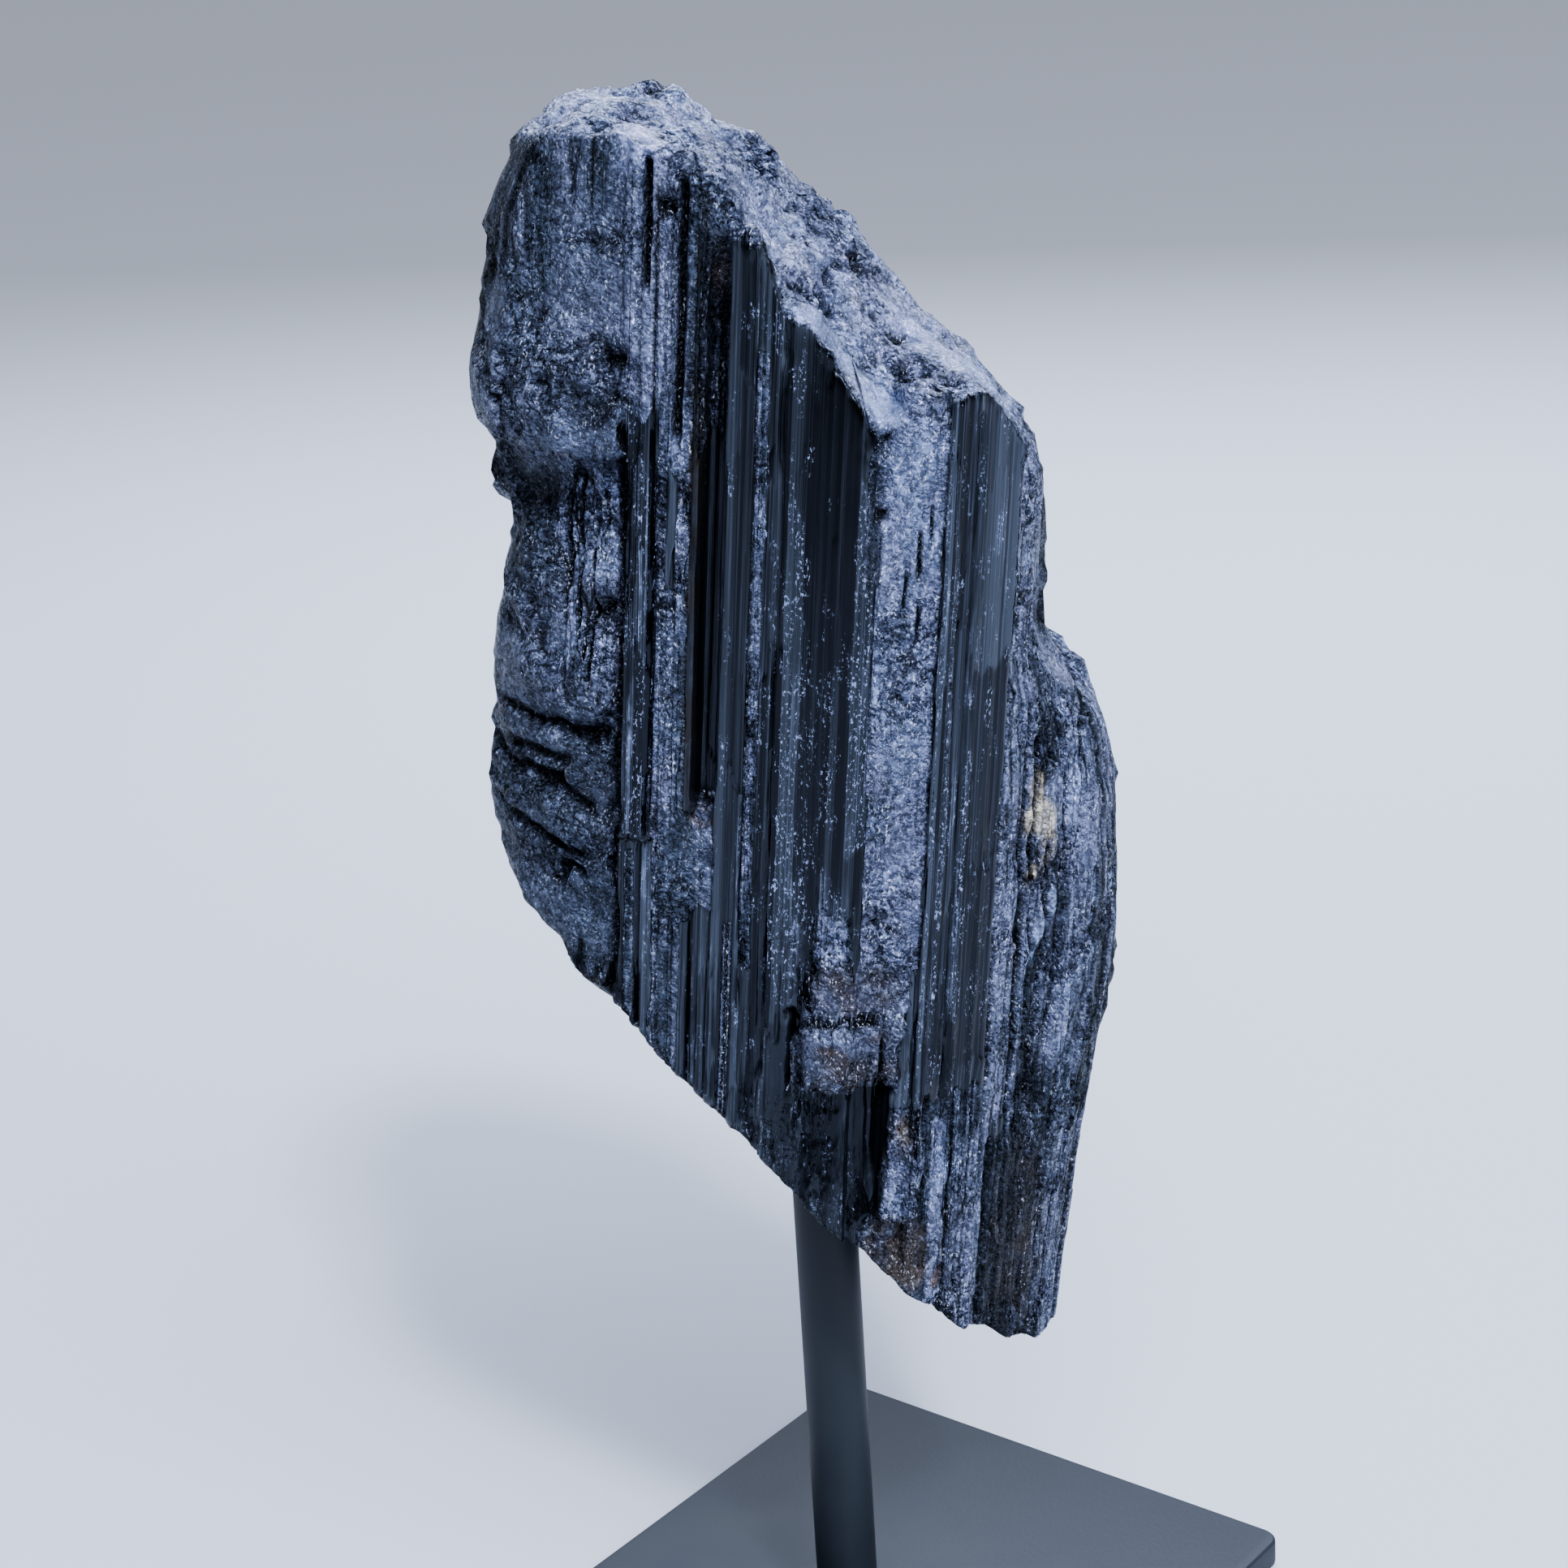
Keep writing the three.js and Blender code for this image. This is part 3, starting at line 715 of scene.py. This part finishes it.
def dentShare(points, dent):
    angle = math.radians(dent["turn"])
    dx = points[:, 0] - dent["x"]
    dz = points[:, 2] - dent["z"]
    onLength = (dx * math.cos(angle) + dz * math.sin(angle)) / dent["long"]
    onWidth = (dz * math.cos(angle) - dx * math.sin(angle)) / dent["wide"]
    return np.exp(-(onLength ** 4) - onWidth ** 2)


def lumpsAt(points, cells):
    return cells["tall"] * cells["across"] * facetAt(points, cells["across"], cells["along"], cells["seed"])


def carveRods(points, normals, painted, wall, height, dark):
    # on faces that look sideways the rods lie side by side along y, and elsewhere along x
    x, y, z = points.T
    sideways = np.abs(normals[:, 0]) > 0.75
    across = np.where(sideways, y + 0.5 * x, x + 0.35 * y) + waveAt(points, "rodSides")
    for rods in rodSets:
        step, gap, tone = rodsAt(across, z + waveAt(points, "rodSteps"), rods)
        height += wall * painted["rods"] * (rods["step"] * step - rods["gap"] * gap)
        # the gaps between the rods are painted dark, as the shade inside them
        np.maximum(dark, wall * smoothStep(0, 0.6, painted["rods"]) * gap, out=dark)
        painted["pale"] += relief["toneOfRods"] * tone * painted["striped"]
    flutes = 1 - 2 * np.abs(waveAt(points, "flutes"))
    height += relief["flutes"] * flutes * wall * painted["rods"]


def carveBreaks(points, painted, top, height, dark):
    lumps = np.zeros(len(points))
    for cells in lumpSets:
        lumps += lumpsAt(points, cells)
    lumps += relief["grain"] * fractalAt(points, *crumbs["grain"])
    lumps *= relief["crumpled"] * painted["crumpled"] - relief["smooth"]
    height += painted["lumps"] * lumps
    height += top * (waveAt(points, "topHills") + lumpsAt(points, topLumps))
    pocks = smoothStep(0.62, 0.9, fractalAt(points, *crumbs["pocks"]))
    pocks *= smoothStep(0.4, 1, painted["lumps"])
    height -= relief["pocks"] * pocks
    # the pocks are painted dark, as the shade inside them
    np.maximum(dark, shadows["pocks"] * pocks, out=dark)


def carveFolds(points, wall, height, dark):
    x, y, z = points.T
    area = relief["foldArea"]
    folded = inRange(x, *area["x"], 1) * inRange(z, *area["z"], 5) * wall
    slope = math.radians(relief["foldSlope"])
    down = z * math.cos(slope) + x * math.sin(slope)
    along = x * math.cos(slope) - z * math.sin(slope)
    flow = np.stack([along, 0.5 * y, down], 1)
    folds = waveAt(flow + waveAt(points, "foldBends")[:, None], "folds")
    ripples = waveAt(flow + waveAt(points, "rippleBends")[:, None], "ripples")
    height += folded * (relief["folds"] * folds + relief["ripples"] * ripples)
    # the troughs of the folds are painted dark, as shade
    np.maximum(dark, folded * shadows["folds"] * smoothStep(0.1, -0.3, folds), out=dark)


def carveCuts(points, front, height, dark):
    # slits, pits, hollows and the dents that sink in are painted dark, as the shade that falls in them
    x, y, z = points.T
    middles = waveAt(points, "slits")
    for slit in slits:
        reach = inRange(z, *slit["z"], 3) * front
        share = reach * np.exp(-((x - (slit["x"] + middles)) / (slit["width"] / 2)) ** 4)
        height -= slit["depth"] * share
        np.maximum(dark, share, out=dark)
    for pit in pits:
        share = ballShare(points, pit)
        height -= pit["depth"] * share
        np.maximum(dark, shadows["pits"] * share, out=dark)
    for hollow in hollows:
        share = inRange(x, *hollow["x"], hollow["soft"]) * inRange(z, *hollow["z"], 2 * hollow["soft"])
        np.maximum(dark, hollow["dark"] * share * front, out=dark)
    warped = points + np.stack([waveAt(points, "dentSides"), 0 * y, waveAt(points, "dentEnds")], 1)
    for dent in dents:
        share = dentShare(warped, dent) * front
        height -= dent["depth"] * share
        if dent["depth"] > 0:
            np.maximum(dark, shadows["dents"] * share, out=dark)


def carve(points, normals, painted, front, top):
    # the relief in mm along the outward normal, and how dark the painted shade is in the crevice each vertex
    # lies in
    height = np.zeros(len(points))
    dark = np.zeros(len(points))
    carveRods(points, normals, painted, 1 - top, height, dark)
    carveBreaks(points, painted, top, height, dark)
    carveFolds(points, 1 - top, height, dark)
    carveCuts(points, front, height, dark)
    return height, dark


def frontAndTop(surface, points):
    # how much each vertex belongs to the front and to the broken top, whose steps run down
    # over the upper front
    regions = np.stack([regionShare(surface, 1), regionShare(surface, 2)], 1)
    front, top = spread(surface, regions, 1, 2).T
    x, y, z = points.T
    steps = front * smoothStep(*topSteps["y"], y) * smoothStep(*topSteps["z"], z)
    steps *= smoothStep(*topSteps["x"], x)
    return front - steps, top + steps


def normalsOf(mesh):
    return turnedToStone(readVectors(mesh.vertex_normals, "vector"))


def movePoints(mesh, points):
    mesh.vertices.foreach_set("co", toFrame(points).ravel().astype(np.float32))
    mesh.update()


def makeStone():
    surface = copyNode("tourmaline", "tourmaline_surface")
    markRegions(surface)
    for region, cuts in enumerate([stone["frontCuts"], stone["topCuts"], stone["backCuts"]], 1):
        divideRegion(surface, region, cuts)
    editAll(surface, bpy.ops.mesh.quads_convert_to_tris)
    mesh = surface.data
    points = toStone(readVectors(mesh.vertices, "co"))
    front, top = frontAndTop(surface, points)
    painted = paintZones(points, front, top)
    # the underside is a plain break, with no rods and with lower lumps
    below = smoothStep(0.3, 0.6, -normalsOf(mesh)[:, 2])
    painted["lumps"] *= 1 - 0.6 * below
    painted["rods"] *= 1 - 0.9 * below
    painted["striped"] *= 1 - below
    # the solid's flat faces are evened out where the stone is broken, and then carved
    points = spread(surface, points, np.clip(0.7 * painted["lumps"], 0, 0.8), 8)
    movePoints(mesh, points)
    normals = normalsOf(mesh)
    height, dark = carve(points, normals, painted, front, top)
    # painted shade and highlight: the crevice value is high where the relief lies below its surroundings,
    # below 0 on ridges, and also takes the painted darkness of slits, gaps, pits and hollows
    around = spread(surface, height[:, None], 1, 5)[:, 0]
    hollow = np.clip((around - height) / relief["creviceDepth"], -1, 1)
    painted["crevice"] = np.maximum(hollow * (1 - 0.2 * top), dark)
    points += normals * height[:, None]
    movePoints(mesh, points)
    for name in paintedLayers:
        layer = mesh.attributes.new(name, "FLOAT", "POINT")
        layer.data.foreach_set("value", painted[name].astype(np.float32))
    layer = mesh.attributes.new("stain", "FLOAT_COLOR", "POINT")
    layer.data.foreach_set("color", paintStainsAndGlint(points, front).ravel().astype(np.float32))
    mesh.attributes.remove(mesh.attributes["region"])
    makeActive(surface)
    bpy.ops.object.shade_smooth_by_angle(angle=math.radians(stone["smoothAngle"]))
    return surface


# The schorl's patterns: their size in mm to the right, away and along the crystal, how far
# they are turned in degrees, and their detail, roughness and kind of noise.
patterns = {
    "crumple": {"size": (2.0, 2.0, 1.4), "turn": 28, "detail": 5, "roughness": 0.7,
                "kind": {"noise_type": "RIDGED_MULTIFRACTAL", "Offset": 1, "Gain": 1.4}},
    "tones": {"size": (5, 5, 6), "detail": 4, "roughness": 0.6},
    "hues": {"size": (9, 9, 14), "detail": 3, "roughness": 0.6},
    "ragged": {"size": (0.6, 0.6, 1.4), "detail": 3, "roughness": 0.6},
    "striae": {"size": (0.24, 0.24, 34), "detail": 2, "roughness": 0.6},
    "specks": {"size": (0.42, 0.42, 0.7), "detail": 3, "roughness": 0.7},
    "chips": {"size": (1.0, 1.0, 1.7), "detail": 4, "roughness": 0.75},
    "patches": {"size": (2.2, 2.2, 8), "detail": 4, "roughness": 0.6},
}

# Values added up to a share: the first value, what is added to it and by how much, and the
# sums that give 0 and 1. The border of the breaks is ragged in this way.
sums = {
    "faceTone": ("faceChance", {"pale": 0.6, "striae": 1.2}, 0.9, 1.8),
    "broken": ("rough", {"ragged": 0.5, "striae": 0.5}, 0.95, 1.1),
    "patchShare": ("patches", {"frost": 0.24}, 0.62, 0.72),
}

# How much of each pattern or painted value shows: what it comes from, the values that give
# the lower and the upper end, and those ends where they aren't 0 and 1.
shares = {
    # crests mark painted highlights on the breaks, and creases and holes painted shade
    "creases": ("crumple", 1.4, 2.1),
    "crests": ("chips", 0.56, 0.64),
    "cluster": ("tones", 0.5, 0.6),
    "holes": ("chips", 0.38, 0.34),
    "toneShare": ("tones", 0.36, 0.64),
    "hueShare": ("hues", 0.4, 0.62),
    "striaShare": ("striae", 0.52, 0.68),
    "speckShare": ("specks", 0.59, 0.62),
    "chipShare": ("chips", 0.62, 0.65),
    "faceBorder": ("faceEdge", 0.06, 0.03),
    "lineChance": ("faceLuck", 0.5, 0.4),
    "crackChance": ("faceLuck", 0.5, 0.6),
    # painted shade where the crevice value is high, and a painted highlight on ridges where it is below 0
    "recess": ("crevice", 0.15, 0.9),
    "ridgeHighlight": ("crevice", -0.15, -1, 0, 0.35),
    "glassy": ("broken", 1, 0),
    "evenness": ("patchShare", 0, 1, 0.25, 1),
    "lineBrightness": ("pale", 0, 1, 0.1, 0.7),
    "glintBrightness": ("pale", 0, 0.5, 0.15, 1),
    "clustered": ("cluster", 0, 1, 0.35, 1),
}

# Values made of two others, in order: multiplied, or the greater of the two. The breaks are
# crumpled in patches, the glass has fine pale striae along the crystal, painted highlights along
# the borders of some faces and chips in clusters, and painted glints, small near-white flecks, show on the
# breaks.
pairs = [
    ("crumpledBreak", "MULTIPLY", "crumpled", "broken"),
    ("crests", "MULTIPLY", "crests", "crumpled"),
    ("creases", "MULTIPLY", "creases", "crumpled"),
    ("holes", "MULTIPLY", "holes", "crumpled"),
    # painted highlights: pale streaks along the borders of some crystal faces, where their edges catch the
    # light
    ("edgeGlints", "MULTIPLY", "faceBorder", "lineChance"),
    ("cracks", "MULTIPLY", "faceBorder", "crackChance"),
    ("lengthwise", "MULTIPLY", "striaShare", "striped"),
    ("lengthwise", "MAXIMUM", "lengthwise", "edgeGlints"),
    ("lengthwise", "MULTIPLY", "lengthwise", "evenness"),
    ("chipped", "MAXIMUM", "speckShare", "chipShare"),
    ("chipped", "MULTIPLY", "chipped", "patchShare"),
    ("frosted", "MULTIPLY", "lengthwise", "lineBrightness"),
    ("frosted", "MAXIMUM", "frosted", "chipped"),
    ("cracks", "MULTIPLY", "cracks", "striped"),
    ("recess", "MAXIMUM", "recess", "cracks"),
    ("stainAndGlintShare", "MULTIPLY", "stain", "toneShare"),
    # painted glints: near-white flecks on the breaks, in clusters
    ("paintedGlints", "MULTIPLY", "speckShare", "broken"),
    ("paintedGlints", "MULTIPLY", "paintedGlints", "glintBrightness"),
    ("paintedGlints", "MULTIPLY", "paintedGlints", "clustered"),
    ("faceHeight", "MULTIPLY", "faceHeight", "glassy"),
    ("crumpleHeight", "MULTIPLY", "crumple", "crumpledBreak"),
]

# The stone's colours in layers: the layer, how much of the second colour shows, and the two
# colours, each a hex value or a layer above.
layers = [
    ("glass", "faceTone", "010102", "40464f"),
    # frost, chips and striae lighten the glass, together with the painted highlights along the faces' edges
    ("glass", "frosted", "glass", "929dba"),
    ("break", "toneShare", "252c37", "485363"),
    # painted highlights on the breaks' crests, and painted shade in their creases and holes
    ("break", "crests", "break", "76839d"),
    ("break", "creases", "break", "10141a"),
    ("break", "holes", "break", "090b0f"),
    ("light", "toneShare", "727c97", "9aa5c8"),
    ("light", "hueShare", "light", "9094b2"),
    ("light", "crests", "light", "d2daf0"),
    ("light", "creases", "light", "475066"),
    ("light", "holes", "light", "333a48"),
    ("break", "pale", "break", "light"),
    ("stone", "broken", "glass", "break"),
    # painted highlight: a lighter colour on ridges that stand above their surroundings
    ("stone", "ridgeHighlight", "stone", "8a94a8"),
    # iron stain, clay, crust, and the one painted glint
    ("stone", "stainAndGlintShare", "stone", "stainColour"),
    # painted shade: near black in crevices, slits, gaps and hollows, and along dark cracks between the faces
    ("stone", "recess", "stone", "0a0d12"),
]

schorl = {
    "faces": (1.5, 1.5, 140),  # mm, crystal faces side by side
    # relief that is finer than the mesh: what it follows, and how tall it is in mm
    "bumps": [("faceHeight", 0.25, False), ("striae", 0.05, False), ("crumpleHeight", 0.35, True)],
    "facetWarp": 2.4,  # mm that the small facets wander
    "facets": [(3, 2.2), (1.2, 1.2), (0.5, 0.5)],  # mm wide, mm deep
    "facetLength": 0.8,  # along the crystal, for its width
    "facetShades": (0.7, 1.3),
    "facetChance": (0.1, 0.9),  # the random values that give the ends of a facet's shade and polish
    # the colour of the painted glints on the breaks
    "paintedGlints": "eef2ff",
    "breakPolish": (0.34, 0.1),
    "glassPolish": (0.12, 0.45),
    "ior": 1.65,
    "specular": 0.42,
    "specularTint": "d8e1f5",
}


def addTilted(tree, cells, voronoi):
    # a flat height in each cell of a pattern, tilted as the cell's random colour says
    aside = addNode(tree, "ShaderNodeVectorMath", {"operation": "SUBTRACT"},
                    {0: cells, 1: voronoi.outputs["Position"]})
    tilt = addNode(tree, "ShaderNodeVectorMath", {"operation": "SUBTRACT", 1: (0.5, 0.5, 0.5)},
                   {0: voronoi.outputs["Color"]})
    height = addNode(tree, "ShaderNodeVectorMath", {"operation": "DOT_PRODUCT"},
                     {0: aside.outputs["Vector"], 1: tilt.outputs["Vector"]})
    return height.outputs["Value"]


def findValues(tree, inMm):
    # the patterns, the painted values and all that the tables above make of them
    found = {}
    for name, pattern in patterns.items():
        turned = (0, math.radians(pattern.get("turn", 0)), 0)
        settings = {"vector_type": "TEXTURE", "Rotation": turned, "Scale": pattern["size"]}
        cells = addNode(tree, "ShaderNodeMapping", settings, {"Vector": inMm}).outputs["Vector"]
        settings = pattern.get("kind", {}) | {"Scale": 1, "Detail": pattern["detail"]}
        texture = addNode(tree, "ShaderNodeTexNoise", settings, {"Vector": cells})
        texture.inputs["Roughness"].default_value = pattern["roughness"]
        found[name] = texture.outputs["Fac"]
        if name == "tones":
            found["wander"] = texture.outputs["Color"]
    for name in paintedLayers:
        attribute = addNode(tree, "ShaderNodeAttribute", {"attribute_name": name})
        found[name] = attribute.outputs["Fac"]
    stain = addNode(tree, "ShaderNodeAttribute", {"attribute_name": "stain"})
    found["stain"] = stain.outputs["Alpha"]
    found["stainColour"] = stain.outputs["Color"]

    # crystal faces side by side, each with its own tone and tilt
    settings = {"vector_type": "TEXTURE", "Scale": schorl["faces"]}
    cells = addNode(tree, "ShaderNodeMapping", settings, {"Vector": inMm}).outputs["Vector"]
    settings = {"voronoi_dimensions": "2D", "Scale": 1}
    faces = addNode(tree, "ShaderNodeTexVoronoi", settings, {"Vector": cells})
    chance = addNode(tree, "ShaderNodeSeparateColor", {}, {"Color": faces.outputs["Color"]})
    settings["feature"] = "DISTANCE_TO_EDGE"
    edges = addNode(tree, "ShaderNodeTexVoronoi", settings, {"Vector": cells})
    found["faceChance"] = chance.outputs["Red"]
    found["faceLuck"] = chance.outputs["Green"]
    found["faceEdge"] = edges.outputs["Distance"]
    found["faceHeight"] = addTilted(tree, cells, faces)

    for name, (first, added, low, high) in sums.items():
        total = found[first]
        for source, weight in added.items():
            total = addNode(tree, "ShaderNodeMath", {"operation": "MULTIPLY_ADD", 1: weight},
                            {0: found[source], 2: total}).outputs["Value"]
        share = addNode(tree, "ShaderNodeMapRange", {"From Min": low, "From Max": high}, {"Value": total})
        found[name] = share.outputs["Result"]
    for name, (source, *ends) in shares.items():
        settings = dict(zip(("From Min", "From Max", "To Min", "To Max"), ends))
        share = addNode(tree, "ShaderNodeMapRange", settings, {"Value": found[source]})
        found[name] = share.outputs["Result"]
    for name, operation, first, second in pairs:
        pair = addNode(tree, "ShaderNodeMath", {"operation": operation}, {0: found[first], 1: found[second]})
        found[name] = pair.outputs["Value"]
    return found


def layColours(tree, found):
    laid = {"stainColour": found["stainColour"]}
    for layer, share, *colours in layers:
        mix = addNode(tree, "ShaderNodeMix", {"data_type": "RGBA"}, {"Factor": found[share]})
        for socket, colour in zip((6, 7), colours):
            if colour in laid:
                tree.links.new(laid[colour], mix.inputs[socket])
            else:
                mix.inputs[socket].default_value = linear(colour)
        laid[layer] = mix.outputs[2]
    return laid["stone"]


def schorlMaterial():
    # Schorl, the iron-black tourmaline, as grown and broken: glassy lengthwise faces with
    # fine striae, and breaks that look grey-blue because thousands of small facets glint. That
    # grey-blue is partly a painted sheen in the breaks' colour, beside painted glints and shade.
    material, tree, shader = addMaterial("schorl")
    place = addNode(tree, "ShaderNodeTexCoord").outputs["Object"]
    inMm = addNode(tree, "ShaderNodeMapping", {
        "vector_type": "TEXTURE",
        "Location": (0, 0, stone["centreHeight"] * mm),
        "Rotation": (0, math.radians(stone["lean"]), math.radians(stone["turn"])),
        "Scale": (mm, mm, mm),
    }, {"Vector": place}).outputs["Vector"]
    found = findValues(tree, inMm)
    colour = layColours(tree, found)

    # relief: faces and striae where glassy, and crumpled crests on the breaks
    normal = None
    for source, depth, inward in schorl["bumps"]:
        bump = addNode(tree, "ShaderNodeBump", {"invert": inward, "Strength": 1, "Distance": depth * mm},
                       {"Height": found[source]})
        if normal is not None:
            tree.links.new(normal, bump.inputs["Normal"])
        normal = bump.outputs["Normal"]

    # flat facets of three sizes on the breaks, each with its own tilt and shade
    warp = addNode(tree, "ShaderNodeVectorMath", {"operation": "MULTIPLY_ADD", 1: [schorl["facetWarp"]] * 3},
                   {0: found["wander"], 2: inMm}).outputs["Vector"]
    lowChance, highChance = schorl["facetChance"]
    fromChance = {"From Min": lowChance, "From Max": highChance}
    darkest, lightest = schorl["facetShades"]
    for width, depth in schorl["facets"]:
        size = (width, width, schorl["facetLength"] * width)
        cells = addNode(tree, "ShaderNodeMapping", {"vector_type": "TEXTURE", "Scale": size},
                        {"Vector": warp}).outputs["Vector"]
        facets = addNode(tree, "ShaderNodeTexVoronoi", {"Scale": 1}, {"Vector": cells})
        height = addNode(tree, "ShaderNodeMath", {"operation": "MULTIPLY"},
                         {0: addTilted(tree, cells, facets), 1: found["crumpledBreak"]})
        normal = addNode(tree, "ShaderNodeBump", {"Strength": 1, "Distance": depth * mm},
                         {"Height": height.outputs["Value"], "Normal": normal}).outputs["Normal"]
        chance = addNode(tree, "ShaderNodeSeparateColor", {}, {"Color": facets.outputs["Color"]})
        shade = addNode(tree, "ShaderNodeMapRange", fromChance | {"To Min": darkest, "To Max": lightest},
                        {"Value": chance.outputs["Blue"]}).outputs["Result"]
        colour = addNode(tree, "ShaderNodeMix", {"data_type": "RGBA", "blend_type": "MULTIPLY"},
                         {"Factor": found["crumpledBreak"], 6: colour, 7: shade}).outputs[2]
    tree.links.new(normal, shader.inputs["Normal"])

    # painted glints: small near-white flecks on the breaks; and the smallest facets have their own polish
    colour = addNode(tree, "ShaderNodeMix", {"data_type": "RGBA", 7: linear(schorl["paintedGlints"])},
                     {"Factor": found["paintedGlints"], 6: colour}).outputs[2]
    tree.links.new(colour, shader.inputs["Base Color"])
    dull, bright = schorl["breakPolish"]
    breakPolish = addNode(tree, "ShaderNodeMapRange", fromChance | {"To Min": dull, "To Max": bright},
                          {"Value": chance.outputs["Green"]}).outputs["Result"]
    clear, chipped = schorl["glassPolish"]
    glassPolish = addNode(tree, "ShaderNodeMapRange", {"To Min": clear, "To Max": chipped},
                          {"Value": found["frosted"]}).outputs["Result"]
    polish = addNode(tree, "ShaderNodeMix", {}, {"Factor": found["broken"], 2: glassPolish, 3: breakPolish})
    tree.links.new(polish.outputs[0], shader.inputs["Roughness"])
    shader.inputs["IOR"].default_value = schorl["ior"]
    shader.inputs["Specular IOR Level"].default_value = schorl["specular"]
    shader.inputs["Specular Tint"].default_value = linear(schorl["specularTint"])
    return material


surface = makeStone()
surface.data.materials.append(schorlMaterial())
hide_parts("tourmaline")
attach(surface, "root")
print("stone ready:", len(surface.data.polygons), "triangles")

# The stand

stand = {
    "rodSides": 96,
    "rodEdge": 0.4,  # mm that its ends are rounded
    "plateCorner": 3.5,
    "plateEdge": 0.6,
    "peel": 0.8,  # mm, the powder coat's orange peel
    "peelDepth": 0.05,
    "wear": 14,  # mm, patches that are handled more or less
    "tones": ("2a2f35", "3c424a"),
    "sheen": (0.38, 0.56),
}


def inEditMode(item, selectEdge):
    # edit mode on item with only the edges selected for which selectEdge(start, end) holds
    makeActive(item)
    bpy.ops.object.mode_set(mode="EDIT")
    bpy.ops.mesh.select_mode(type="EDGE")
    bpy.ops.mesh.select_all(action="DESELECT")
    mesh = bmesh.from_edit_mesh(item.data)
    for edge in mesh.edges:
        start, end = (vert.co for vert in edge.verts)
        edge.select_set(selectEdge(start, end))
    bmesh.update_edit_mesh(item.data)


def finishSteel(item, node, material):
    bpy.ops.object.mode_set(mode="OBJECT")
    bpy.ops.object.shade_smooth_by_angle(angle=math.radians(35))
    item.data.materials.append(material)
    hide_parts(node)
    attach(item, "root")


def makeRod(material):
    lowest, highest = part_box("rod")
    deselectAll()
    bpy.ops.mesh.primitive_cylinder_add(
        vertices=stand["rodSides"],
        radius=(highest.x - lowest.x) / 2,
        depth=highest.z - lowest.z,
        location=(lowest + highest) / 2,
    )
    rod = bpy.context.object
    rod.name = "steel_rod"
    bpy.ops.object.transform_apply(location=True)
    middle = (lowest.z + highest.z) / 2
    inEditMode(rod, lambda start, end: (start.z - middle) * (end.z - middle) > 0)
    bpy.ops.mesh.bevel(offset=stand["rodEdge"] * mm, segments=3)
    finishSteel(rod, "rod", material)


def makePlate(material):
    lowest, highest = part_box("base_plate")
    deselectAll()
    bpy.ops.mesh.primitive_cube_add(size=1, location=(lowest + highest) / 2)
    plate = bpy.context.object
    plate.name = "steel_plate"
    plate.scale = highest - lowest
    bpy.ops.object.transform_apply(location=True, scale=True)
    middle = (lowest.z + highest.z) / 2
    inEditMode(plate, lambda start, end: (start.z - middle) * (end.z - middle) < 0)
    bpy.ops.mesh.bevel(offset=stand["plateCorner"] * mm, segments=9)
    bpy.ops.object.mode_set(mode="OBJECT")
    inEditMode(plate, lambda start, end: (start.z - middle) * (end.z - middle) > 0)
    bpy.ops.mesh.bevel(offset=stand["plateEdge"] * mm, segments=3)
    finishSteel(plate, "base_plate", material)


def powderCoatMaterial():
    # Mild steel with a matte black powder coat: a soft sheen and a faint orange peel.
    material, tree, shader = addMaterial("powderCoatedSteel")
    place = addNode(tree, "ShaderNodeTexCoord").outputs["Object"]
    peelScale = 1 / (stand["peel"] * mm)
    peel = addNode(tree, "ShaderNodeTexNoise", {"Scale": peelScale, "Detail": 3}, {"Vector": place})
    wearScale = 1 / (stand["wear"] * mm)
    wear = addNode(tree, "ShaderNodeTexNoise", {"Scale": wearScale, "Detail": 5}, {"Vector": place})
    dark, light = stand["tones"]
    tone = addNode(tree, "ShaderNodeMix", {"data_type": "RGBA", 6: linear(dark), 7: linear(light)},
                   {"Factor": wear.outputs["Fac"]})
    tree.links.new(tone.outputs[2], shader.inputs["Base Color"])
    glossiest, dullest = stand["sheen"]
    sheen = addNode(tree, "ShaderNodeMapRange", {"To Min": glossiest, "To Max": dullest},
                    {"Value": wear.outputs["Fac"]})
    tree.links.new(sheen.outputs["Result"], shader.inputs["Roughness"])
    bump = addNode(tree, "ShaderNodeBump", {"Strength": 0.5, "Distance": stand["peelDepth"] * mm},
                   {"Height": peel.outputs["Fac"]})
    tree.links.new(bump.outputs["Normal"], shader.inputs["Normal"])
    return material


powderCoat = powderCoatMaterial()
makeRod(powderCoat)
makePlate(powderCoat)
print("stand ready")
